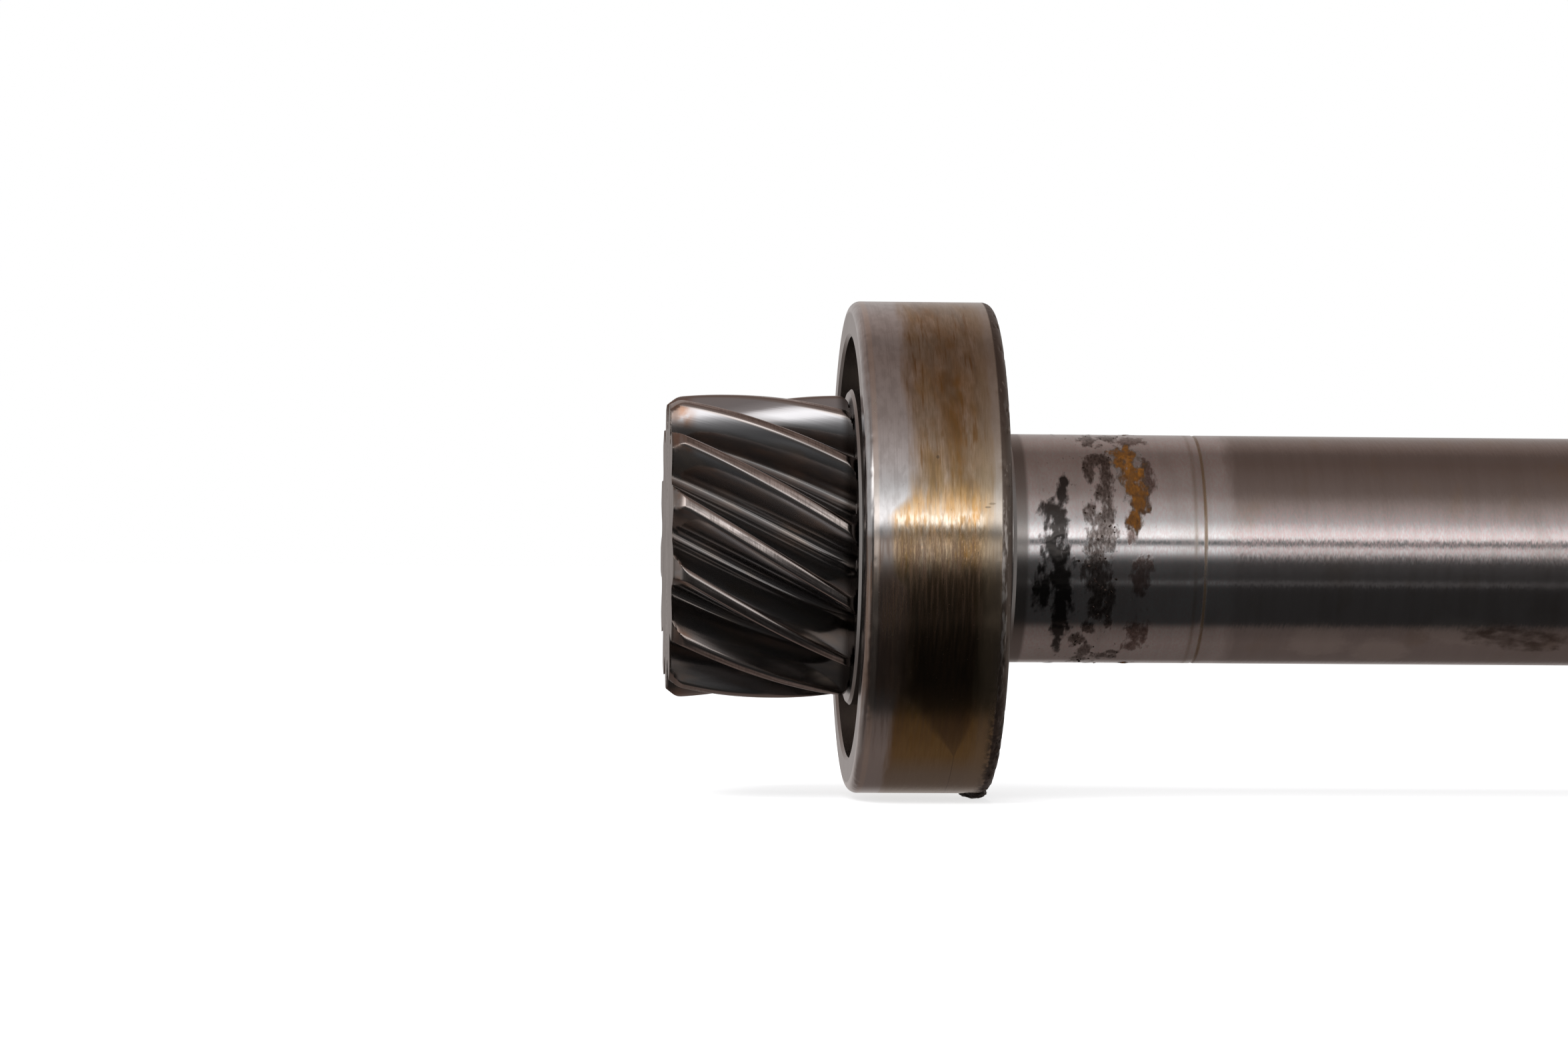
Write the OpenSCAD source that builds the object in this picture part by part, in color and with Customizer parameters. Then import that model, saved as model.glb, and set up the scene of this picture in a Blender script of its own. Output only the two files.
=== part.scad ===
// Pinion shaft: a ground steel shaft with a helical pinion cut on its end and a ball bearing pressed on
// behind it. The shaft lies along X, with the pinion at -X. The origin is the centre of the bearing.

/* [Pinion] */
// Number of teeth
teeth = 13; // [10:1:15]
// Normal module of the teeth
tooth_module = 1.8; // [1.6:0.05:2]
// Helix angle at the pitch circle, right hand
helix_angle = 26.8; // [15:0.1:32]
// Normal pressure angle
pressure_angle = 20; // [18:0.5:22]
// Profile shift, in modules
profile_shift = 0.78; // [0.4:0.02:0.84]
// Height of a tooth above the pitch circle before the shift, in modules
addendum = 0.83; // [0.7:0.01:1]
// Depth of a tooth space below the pitch circle before the shift, in modules
dedendum = 1.25; // [1.1:0.05:1.35]
// Radius of the fillet at the foot of each flank
foot_fillet = 0.55; // [0.3:0.05:0.7]
// Length of the toothed part
face_width = 19.1; // [14:0.1:30]
// Bevel at the free end of the teeth
tooth_bevel = 1.2; // [0.6:0.1:1.6]
// Rounding at the end of the teeth next to the bearing
tooth_rounding = 1.2; // [0.6:0.1:1.6]
// Direction of one tooth at the free end, measured about the axis from +Y towards +Z
first_tooth_angle = 132.8; // [0:0.1:360]

/* [Shaft] */
// Length of the bearing seat that stands out past the bearing
seat_overrun = 1.4; // [0.8:0.1:4]
// Diameter of the ground journal behind the bearing seat
journal_d = 24.2; // [22:0.1:24.8]
// Length of the journal, from the seat to the shaft's plain end
journal_length = 94.5; // [60:0.5:160]
// Chamfer round the plain end
end_chamfer = 1.5; // [0.5:0.1:3]
// Mouth diameter of the centre hole in the plain end
centre_mouth_d = 5.3; // [4:0.1:8]
// Pilot diameter of the centre hole
centre_pilot_d = 2.5; // [1.5:0.1:3]
// Depth of the centre hole's pilot
centre_depth = 6; // [5.5:0.1:9]

/* [Bearing] */
// Bore of the inner ring, which is also the diameter of its seat on the shaft
bearing_bore = 25; // [24.9:0.05:26]
// Outside diameter of the outer ring
bearing_od = 52; // [50:0.5:60]
// Width of both rings
bearing_width = 15; // [12:0.5:18]
// How far the ball circle's diameter lies above the mean of the bore and the outside diameter
ball_circle_offset = 0.5; // [-0.5:0.1:1]
// Number of balls
ball_count = 9; // [7:1:9]
// Ball diameter
ball_d = 7.938; // [7:0.1:8.2]
// Radius of a raceway groove as a share of the ball's diameter
groove_share = 0.52; // [0.51:0.005:0.54]
// Depth of a raceway groove below its shoulders
groove_depth = 1.17; // [0.8:0.01:1.3]
// Radial gap between a ball and the bottom of a groove
ball_gap = 0.05; // [0.03:0.01:0.1]
// Edge radius on the outside of the outer ring
outer_edge_r = 1.1; // [0.6:0.1:1.5]
// Edge radius at the bore of the inner ring
bore_edge_r = 0.8; // [0.5:0.1:1.2]
// Chamfer on the shoulders of both rings
shoulder_chamfer = 0.3; // [0.1:0.05:0.5]

/* [Cage] */
// Thickness of the pressed steel strip
strip_thickness = 0.8; // [0.5:0.05:1]
// Width of the strip, across the axis
strip_width = 3.5; // [2.8:0.1:4]
// Gap all round a ball in its pocket
pocket_gap = 0.15; // [0.1:0.01:0.25]
// Shank diameter of a rivet
rivet_d = 1.5; // [1:0.1:1.7]
// Head diameter of a rivet
rivet_head_d = 2.6; // [2.2:0.1:2.9]
// Height of a rivet's domed head
rivet_head_h = 0.6; // [0.4:0.05:0.9]
// Gap between a rivet's shank and its hole
rivet_gap = 0.02; // [0.01:0.01:0.05]

/* [Hidden] */
$fn = 96;
JOIN = 0.01;  // overlap that lets a cut clear the face it starts from
CLEAR = 2;  // how far a piece that only trims another stands out past it
FOOT_RISE = 0.7;  // height of a foot fillet's upper end above the root circle, as a share of its radius
CORE_SHARE = 0.8;  // radius of the solid core inside the pinion, as a share of the root radius
CENTRE_MOUTH_ANGLE = 60;  // full angle of the centre hole's mouth
DRILL_TIP_ANGLE = 120;  // full angle of the drill point that the pilot ends in
FLANK_STEPS = 5;
FILLET_STEPS = 3;
BEVEL_STEPS = 1;
ROUND_STEPS = 4;
TWIST_STEPS = 13;

// Involute geometry in the plane across the axis
pitch_r = teeth * tooth_module / (2 * cos(helix_angle));
face_pressure_angle = atan(tan(pressure_angle) / cos(helix_angle));
base_r = pitch_r * cos(face_pressure_angle);
tip_r = pitch_r + tooth_module * (addendum + profile_shift);
root_r = pitch_r - tooth_module * (dedendum - profile_shift);
tooth_pitch_angle = 360 / teeth;
pitch_half_angle = (90 + 2 * profile_shift * tan(pressure_angle) * 180 / PI) / teeth;
helix_lead = PI * teeth * tooth_module / sin(helix_angle);
flank_start_r = max(root_r + foot_fillet * FOOT_RISE, base_r);
full_height_length = face_width - tooth_bevel - tooth_rounding;

// Places along the shaft
bearing_half = bearing_width / 2;
pinion_start = -bearing_half - face_width;
pinion_end = -bearing_half;
seat_end = bearing_half + seat_overrun;
journal_start = seat_end + (bearing_bore - journal_d) / 2;
journal_end = seat_end + journal_length;
core_r = root_r * CORE_SHARE;

// Bearing radii
pitch_d = (bearing_bore + bearing_od) / 2 + ball_circle_offset;
ball_r = ball_d / 2;
ball_track_r = pitch_d / 2;
groove_r = ball_d * groove_share;
inner_shoulder_r = ball_track_r - ball_r + groove_depth;
outer_shoulder_r = ball_track_r + ball_r - groove_depth;
inner_groove_centre_r = ball_track_r - ball_r - ball_gap + groove_r;
outer_groove_centre_r = ball_track_r + ball_r + ball_gap - groove_r;
ball_step = 360 / ball_count;

// Cage radii
pocket_r = ball_r + pocket_gap;
pocket_outer_r = pocket_r + strip_thickness;

// Turns what is built on Z so that it lies on X, with the plan's first axis along Y and its second along Z
module on_shaft_axis() rotate([90, 0, 90]) children();

// Turns a profile drawn as [radius, place along the shaft] about the shaft's axis
module turned() on_shaft_axis() rotate_extrude() children();

// Places a child at a ball's or a rivet's place on the ball circle
module on_ball_circle(angle) rotate([angle, 0, 0]) translate([0, ball_track_r, 0]) children();

// The angle, in degrees, that an involute has unwound by where it crosses radius r
function involute_angle(r) = let (a = acos(min(1, base_r / r))) tan(a) * 180 / PI - a;

// Half the angle that a tooth takes up at radius r
function half_angle(r) = pitch_half_angle + involute_angle(pitch_r) - involute_angle(r);

function on_circle(r, angle) = [r * cos(angle), r * sin(angle)];

// A point on the curve that leaves p towards q and arrives at r
function bend(p, q, r, t) = (1 - t) * (1 - t) * p + 2 * t * (1 - t) * q + t * t * r;

// One flank of a tooth cut down to radius top_r, from its foot up. The side is -1 or 1.
function flank(top_r, side) = let (
    start_half = half_angle(flank_start_r),
    foot_half = start_half + foot_fillet / root_r * 180 / PI,
    start = on_circle(flank_start_r, side * start_half),
    corner = on_circle(root_r, side * half_angle(max(root_r, base_r))),
    foot = on_circle(root_r, side * foot_half)
) concat(
    [for (i = [0:FILLET_STEPS - 1]) bend(foot, corner, start, i / FILLET_STEPS)],
    [for (i = [0:FLANK_STEPS]) let (r = flank_start_r + (top_r - flank_start_r) * i / FLANK_STEPS)
        on_circle(r, side * half_angle(r))]
);

function reversed(list) = [for (i = [len(list) - 1:-1:0]) list[i]];

function turned_by(p, angle) = [p[0] * cos(angle) - p[1] * sin(angle), p[0] * sin(angle) + p[1] * cos(angle)];

// The whole toothed outline cut down to radius top_r and turned by angle
function outline(top_r, angle) = let (tooth = concat(flank(top_r, -1), reversed(flank(top_r, 1))))
    [for (i = [0:teeth - 1], p = tooth) turned_by(p, angle + i * tooth_pitch_angle)];

// The sections of the pinion, each [distance from its free end, radius of the tooth tips there]
pinion_sections = concat(
    [for (i = [0:BEVEL_STEPS]) [tooth_bevel * i / BEVEL_STEPS, tip_r - tooth_bevel * (1 - i / BEVEL_STEPS)]],
    [for (i = [1:TWIST_STEPS]) [tooth_bevel + full_height_length * i / TWIST_STEPS, tip_r]],
    [for (i = [1:ROUND_STEPS]) let (a = 90 * i / ROUND_STEPS)
        [face_width - tooth_rounding * (1 - sin(a)), tip_r - tooth_rounding * (1 - cos(a))]]
);

// The helical pinion as one skin over its sections
module pinion_teeth() {
    rings = [for (s = pinion_sections) let (flat = outline(s[1], first_tooth_angle + 360 * s[0] / helix_lead))
        [for (p = flat) [p[0], p[1], pinion_start + s[0]]]];
    n = len(rings[0]);
    last = len(rings) - 1;
    start_centre = n * len(rings);
    end_centre = start_centre + 1;
    points = concat(
        [for (ring = rings, p = ring) p],
        [[0, 0, pinion_start], [0, 0, pinion_end]]
    );
    faces = concat(
        [for (j = [0:last - 1], k = [0:n - 1]) let (a = j * n + k, b = j * n + (k + 1) % n)
            each [[a, a + n, b + n], [a, b + n, b]]],
        [for (k = [0:n - 1]) [start_centre, k, (k + 1) % n]],
        [for (k = [0:n - 1]) [end_centre, last * n + (k + 1) % n, last * n + k]]
    );
    on_shaft_axis() polyhedron(points, faces);
}

// Everything of the shaft that is turned and ground, from inside the pinion to the plain end
module turned_body() turned() polygon([
    [0, pinion_start + face_width / 2],
    [core_r, pinion_start + face_width / 2],
    [core_r, pinion_end],
    [bearing_bore / 2, pinion_end],
    [bearing_bore / 2, seat_end],
    [journal_d / 2, journal_start],
    [journal_d / 2, journal_end - end_chamfer],
    [journal_d / 2 - end_chamfer, journal_end],
    [0, journal_end]
]);

// The hole that a lathe centre runs in: a drilled pilot with a wider conical mouth
module centre_hole() {
    mouth_slope = tan(CENTRE_MOUTH_ANGLE / 2);
    mouth_depth = (centre_mouth_d - centre_pilot_d) / 2 / mouth_slope;
    tip_depth = centre_pilot_d / 2 / tan(DRILL_TIP_ANGLE / 2);
    turned() polygon([
        [0, journal_end + JOIN],
        [centre_mouth_d / 2 + JOIN * mouth_slope, journal_end + JOIN],
        [centre_pilot_d / 2, journal_end - mouth_depth],
        [centre_pilot_d / 2, journal_end - centre_depth],
        [0, journal_end - centre_depth - tip_depth]
    ]);
}

module pinion_shaft() color([0.36, 0.34, 0.33]) {
    difference() {
        union() {
            turned_body();
            pinion_teeth();
        }
        centre_hole();
    }
}

// What rounding takes off an outer corner, for a corner on the origin whose solid lies inwards and along
module corner_cut(radius, along) difference() {
    translate([-radius, along > 0 ? 0 : -radius]) square(radius);
    translate([-radius, along * radius]) circle(radius);
}

// The ring that sits in the housing, with its rounded outer corners and the balls' groove inside
module bearing_outer_ring() color([0.55, 0.5, 0.47]) turned() difference() {
    polygon([
        [outer_shoulder_r + shoulder_chamfer, -bearing_half],
        [bearing_od / 2, -bearing_half],
        [bearing_od / 2, bearing_half],
        [outer_shoulder_r + shoulder_chamfer, bearing_half],
        [outer_shoulder_r, bearing_half - shoulder_chamfer],
        [outer_shoulder_r, -bearing_half + shoulder_chamfer]
    ]);
    translate([outer_groove_centre_r, 0]) circle(groove_r);
    translate([bearing_od / 2, -bearing_half]) corner_cut(outer_edge_r, 1);
    translate([bearing_od / 2, bearing_half]) corner_cut(outer_edge_r, -1);
}

// The ring pressed on the shaft, with chamfers at its bore and the balls' groove outside
module bearing_inner_ring() color([0.6, 0.57, 0.54]) turned() difference() {
    polygon([
        [bearing_bore / 2 + bore_edge_r, -bearing_half],
        [inner_shoulder_r - shoulder_chamfer, -bearing_half],
        [inner_shoulder_r, -bearing_half + shoulder_chamfer],
        [inner_shoulder_r, bearing_half - shoulder_chamfer],
        [inner_shoulder_r - shoulder_chamfer, bearing_half],
        [bearing_bore / 2 + bore_edge_r, bearing_half],
        [bearing_bore / 2, bearing_half - bore_edge_r],
        [bearing_bore / 2, -bearing_half + bore_edge_r]
    ]);
    translate([inner_groove_centre_r, 0]) circle(groove_r);
}

module ball(index) color([0.8, 0.8, 0.82]) on_ball_circle((index - 1) * ball_step) sphere(ball_r);

// One pressed half of the cage: side is -1 for the half nearer the pinion and 1 for the other
module cage_half(side) color([0.5, 0.48, 0.42]) difference() {
    intersection() {
        turned() translate([ball_track_r - strip_width / 2, side > 0 ? 0 : -pocket_outer_r])
            square([strip_width, pocket_outer_r]);
        union() {
            turned() translate([ball_track_r - strip_width / 2 - CLEAR, side > 0 ? 0 : -strip_thickness])
                square([strip_width + 2 * CLEAR, strip_thickness]);
            for (i = [1:ball_count]) on_ball_circle((i - 1) * ball_step) sphere(pocket_outer_r);
        }
    }
    for (i = [1:ball_count]) {
        on_ball_circle((i - 1) * ball_step) sphere(pocket_r);
        on_ball_circle((i - 0.5) * ball_step) rotate([0, 90, 0])
            cylinder(h = pocket_outer_r * 2, r = rivet_d / 2 + rivet_gap, center = true);
    }
}

module cage_half_left() cage_half(-1);

module cage_half_right() cage_half(1);

// A domed head standing on the cage, drawn about Z with its flat face at height base
module rivet_head(base) {
    dome_r = (rivet_head_d * rivet_head_d / 4 + rivet_head_h * rivet_head_h) / (2 * rivet_head_h);
    intersection() {
        translate([0, 0, base + rivet_head_h - dome_r]) sphere(dome_r);
        translate([0, 0, base]) cylinder(h = rivet_head_h + CLEAR, d = rivet_head_d + CLEAR);
    }
}

module cage_rivet(index) color([0.62, 0.6, 0.55]) on_ball_circle((index - 0.5) * ball_step)
    rotate([0, 90, 0]) {
        cylinder(h = strip_thickness * 2, d = rivet_d, center = true);
        rivet_head(strip_thickness);
        mirror([0, 0, 1]) rivet_head(strip_thickness);
    }

pinion_shaft();
bearing_outer_ring();
bearing_inner_ring();
cage_half_left();
cage_half_right();
for (i = [1:ball_count]) {
    ball(i);
    cage_rivet(i);
}
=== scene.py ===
"""Looks of a pinion shaft with its ball bearing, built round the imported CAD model.

The shaft lies along X with the pinion at -X, and the photograph looks along +Y.
Lengths with no unit in their name are in millimetres until a mesh is made from them.
"""

import math

import bmesh
import bpy
from mathutils import Matrix, Vector, noise


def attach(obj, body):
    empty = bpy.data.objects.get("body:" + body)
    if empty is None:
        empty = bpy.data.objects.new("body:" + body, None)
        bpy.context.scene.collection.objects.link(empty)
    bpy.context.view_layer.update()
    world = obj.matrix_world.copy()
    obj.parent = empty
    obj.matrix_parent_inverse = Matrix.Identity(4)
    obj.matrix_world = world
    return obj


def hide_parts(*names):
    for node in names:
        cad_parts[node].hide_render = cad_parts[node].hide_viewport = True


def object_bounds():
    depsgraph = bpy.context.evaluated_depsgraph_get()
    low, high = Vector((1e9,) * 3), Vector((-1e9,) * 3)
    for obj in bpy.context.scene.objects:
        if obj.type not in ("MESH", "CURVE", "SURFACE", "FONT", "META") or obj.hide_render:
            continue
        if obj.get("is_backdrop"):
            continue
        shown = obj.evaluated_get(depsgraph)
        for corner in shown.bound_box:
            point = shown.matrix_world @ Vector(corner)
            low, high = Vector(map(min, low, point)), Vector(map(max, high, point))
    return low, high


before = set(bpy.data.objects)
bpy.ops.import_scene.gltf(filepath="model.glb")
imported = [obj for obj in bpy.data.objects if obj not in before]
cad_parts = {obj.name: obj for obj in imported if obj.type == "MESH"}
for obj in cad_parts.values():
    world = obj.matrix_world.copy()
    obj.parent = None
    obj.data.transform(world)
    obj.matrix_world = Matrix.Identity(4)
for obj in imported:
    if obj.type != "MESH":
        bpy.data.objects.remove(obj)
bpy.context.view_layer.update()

MM = 0.001

# The pinion
TEETH = 13
TOOTH_MODULE = 1.8
HELIX_ANGLE = math.radians(26.8)
PRESSURE_ANGLE = math.radians(20)
PROFILE_SHIFT = 0.78
ADDENDUM = 0.83
DEDENDUM = 1.25
ROOT_FILLET = 0.8
FACE_WIDTH = 19.1
WORN_END_RADIUS = 15.1
WORN_END_SLOPE = 0.8
WORN_END_ROUNDING = 0.7
WORN_END_LENGTH = 2.4
TOOTH_ROUNDING = 1.2
FIRST_TOOTH_ANGLE = math.radians(132.8)
EDGE_WEAR = 0.3
FLANK_SPACING = 0.3
TOOTH_SPACING = 0.45
TOOTH_END_SPACING = 0.15
CORE_SHARE = 0.8

# The shaft
SEAT_END = 8.9
SEAT_RADIUS = 12.5
SEAT_EDGE = 0.1
STEP_LENGTH = 0.36
STEP_EDGE = 0.03
JOURNAL_RADIUS = 12.1
JOURNAL_END = 103.4
END_CHAMFER = 1.5
END_EDGE_RADIUS = 0.24
END_EDGE_SETBACK = 0.1
CENTRE_MOUTH_RADIUS = 2.65
CENTRE_MOUTH_EDGE = 0.06
CENTRE_PILOT_RADIUS = 1.25
CENTRE_DEPTH = 6.0
CENTRE_CONE_HALF = math.radians(30)
DRILL_TIP_HALF = math.radians(60)
WEAR_LINE = 29.1
WEAR_LINE_FAINT = 28.1
WEAR_DEPTH = 0.05
WEAR_FLOOR_HALF = 0.1
WEAR_HALF = 0.25
SHAFT_SEGMENTS = 384

# The bearing
RING_HALF = 7.5
RING_RADIUS = 26.0
RING_EDGE_RADIUS = 1.1
OUTER_SHOULDER_RADIUS = 22.3
INNER_SHOULDER_RADIUS = 16.7
SHOULDER_CHAMFER = 0.3
BORE_EDGE_CHAMFER = 0.8
BORE_GAP = 0.005
GROOVE_RADIUS = 4.128
OUTER_GROOVE_CENTRE = 19.39
INNER_GROOVE_CENTRE = 19.61
OUTER_RING_SEGMENTS = 480
INNER_RING_SEGMENTS = 320

PINION_START = -RING_HALF - FACE_WIDTH
FAR = 200  # well past every surface of the part, for a zone that is open at one end

# The angle between two faces past which the edge between them is shaded sharp
SHARP_ANGLE = math.radians(35)
TOOTH_SHARP_ANGLE = math.radians(32)
CAD_SHARP_ANGLE = math.radians(28)


def linear(hex_colour):
    """An sRGB hex colour as the linear RGBA that a socket takes."""
    channels = [int(hex_colour[i:i + 2], 16) / 255 for i in (1, 3, 5)]
    return (*[c / 12.92 if c <= 0.04045 else ((c + 0.055) / 1.055) ** 2.4 for c in channels], 1.0)


def add(tree, kind, inputs=None, **settings):
    """Adds a node with its settings. An input takes a constant, a socket, or a node's first output in use."""
    made = tree.nodes.new(kind)
    for name, value in settings.items():
        setattr(made, name, value)
    for key, value in (inputs or {}).items():
        if isinstance(value, bpy.types.Node):
            value = next(s for s in value.outputs if s.enabled)
        if isinstance(value, bpy.types.NodeSocket):
            tree.links.new(value, made.inputs[key])
        else:
            made.inputs[key].default_value = value
    return made


def in_scene(name, data):
    """A new object in the scene, at the origin."""
    made = bpy.data.objects.new(name, data)
    bpy.context.scene.collection.objects.link(made)
    return made


# Meshes


def mesh_object(name, vertices, faces):
    """A smooth-shaded mesh whose vertices are given in millimetres, with its object at the origin."""
    mesh = bpy.data.meshes.new(name)
    mesh.from_pydata([Vector(v) * MM for v in vertices], [], faces)
    mesh.validate()
    mesh.shade_smooth()
    mesh.set_sharp_from_angle(angle=SHARP_ANGLE)
    return in_scene(name, mesh)


def round_the_axis(x, radius, angle):
    """The point at x along the axis, at an angle that is 0 at the front, towards -Y, and grows towards +Z."""
    return (x, -radius * math.cos(angle), radius * math.sin(angle))


def lathe(name, profile, segments, closed, worn=None):
    """Turns a profile of (x, radius) points about the axis. worn gives a point's radius after wear."""
    vertices, faces, rings = [], [], []
    for x, radius in profile:
        if radius == 0:
            rings.append([len(vertices)] * segments)
            vertices.append((x, 0, 0))
            continue
        rings.append(list(range(len(vertices), len(vertices) + segments)))
        for k in range(segments):
            angle = 2 * math.pi * k / segments
            vertices.append(round_the_axis(x, worn(x, radius, angle) if worn else radius, angle))
    followers = rings[1:] + rings[:1] if closed else rings[1:]
    for near, far in zip(rings, followers):
        for k in range(segments):
            after = (k + 1) % segments
            corners = [near[k], far[k], far[after], near[after]]
            faces.append([c for i, c in enumerate(corners) if c not in corners[:i]])
    made = mesh_object(name, vertices, faces)
    point_outwards(made)
    return made


def point_outwards(piece):
    """Recalculates a closed mesh's normals so that they point out of the solid."""
    shape = bmesh.new()
    shape.from_mesh(piece.data)
    bmesh.ops.recalc_face_normals(shape, faces=shape.faces)
    shape.to_mesh(piece.data)
    shape.free()


def arc(centre_x, centre_radius, radius, start, end, steps):
    """Points of an arc in a lathe profile, between angles in degrees, where 90 points away from the axis."""
    angles = [math.radians(start + (end - start) * i / steps) for i in range(steps + 1)]
    return [(centre_x + radius * math.cos(a), centre_radius + radius * math.sin(a)) for a in angles]


def spread(start, end, step):
    """Evenly spaced places from start to end, without the end, no further apart than step."""
    count = max(1, math.ceil(abs(end - start) / step))
    return [start + (end - start) * i / count for i in range(count)]


# Geometry Nodes


def node_group(name, sizes):
    """A Geometry Nodes tree with a geometry input, named inputs for its sizes, and a geometry output."""
    tree = bpy.data.node_groups.new(name, "GeometryNodeTree")
    tree.interface.new_socket("Geometry", in_out="INPUT", socket_type="NodeSocketGeometry")
    for label, kind in sizes:
        tree.interface.new_socket(label, in_out="INPUT", socket_type=kind)
    tree.interface.new_socket("Geometry", in_out="OUTPUT", socket_type="NodeSocketGeometry")
    return tree, add(tree, "NodeGroupInput").outputs


def made_by_nodes(source, tree, values):
    """Runs a tree on an object and returns a plain mesh object in its place."""
    modifier = source.modifiers.new(tree.name, "NODES")
    modifier.node_group = tree
    for socket in tree.interface.items_tree:
        if socket.in_out == "INPUT" and socket.name in values:
            modifier[socket.identifier] = values[socket.name]
    evaluated = source.evaluated_get(bpy.context.evaluated_depsgraph_get())
    mesh = bpy.data.meshes.new_from_object(evaluated)
    name = source.name
    bpy.data.objects.remove(source)
    return in_scene(name, mesh)


# The pinion's teeth

pitch_radius = TEETH * TOOTH_MODULE / (2 * math.cos(HELIX_ANGLE))
base_radius = pitch_radius * math.cos(math.atan(math.tan(PRESSURE_ANGLE) / math.cos(HELIX_ANGLE)))
tip_radius = pitch_radius + TOOTH_MODULE * (ADDENDUM + PROFILE_SHIFT)
root_radius = pitch_radius - TOOTH_MODULE * (DEDENDUM - PROFILE_SHIFT)
turn_per_mm = math.sin(HELIX_ANGLE) * 2 / (TEETH * TOOTH_MODULE)
tooth_step = 2 * math.pi / TEETH


def involute_angle(radius):
    """The angle that the flank's involute has unwound by where it crosses a radius."""
    unwound = math.acos(min(1.0, base_radius / radius))
    return math.tan(unwound) - unwound


def half_tooth(radius):
    """Half the angle that a tooth takes up at a radius."""
    at_pitch = (math.pi / 2 + 2 * PROFILE_SHIFT * math.tan(PRESSURE_ANGLE)) / TEETH
    return at_pitch + involute_angle(pitch_radius) - involute_angle(radius)


def bend(start, corner, end, steps):
    """Points of a smooth curve that leaves its start towards the corner and reaches its end from there."""
    return [tuple((1 - t) ** 2 * a + 2 * t * (1 - t) * b + t * t * c for a, b, c in zip(start, corner, end))
            for t in (i / steps for i in range(steps + 1))]


def half_outline():
    """(radius, angle) points from the middle of a tooth's land, over its worn edge, down to the root."""
    land_edge = (tip_radius, half_tooth(tip_radius))
    land_end = (tip_radius, half_tooth(tip_radius) - EDGE_WEAR / tip_radius)
    flank_top, flank_foot = tip_radius - EDGE_WEAR, root_radius + ROOT_FILLET
    points = [(tip_radius, land_end[1] * i / 2) for i in range(2)]
    points += bend(land_end, land_edge, (flank_top, half_tooth(flank_top)), 6)
    points += [(r, half_tooth(r)) for r in spread(flank_top, flank_foot, FLANK_SPACING)[1:]]
    points += bend((flank_foot, half_tooth(flank_foot)), (root_radius, half_tooth(root_radius)),
                   (root_radius, tooth_step / 2), 8)
    return points


def tooth_skin():
    """One straight tooth's skin, from the middle of one space to the middle of the next."""
    half = half_outline()
    outline = [(r, -a) for r, a in reversed(half)] + half[1:]
    rounding_start = FACE_WIDTH - TOOTH_ROUNDING
    places = spread(0, WORN_END_LENGTH, TOOTH_END_SPACING)
    places += spread(WORN_END_LENGTH, rounding_start, TOOTH_SPACING)
    places += spread(rounding_start, FACE_WIDTH, TOOTH_END_SPACING) + [FACE_WIDTH]
    vertices = [(x, r * math.cos(a), r * math.sin(a)) for x in places for r, a in outline]
    width = len(outline)
    corners = [j * width + k for j in range(len(places) - 1) for k in range(width - 1)]
    faces = [(c, c + 1, c + width + 1, c + width) for c in corners]
    return mesh_object("pinion_teeth", vertices, faces)


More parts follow.
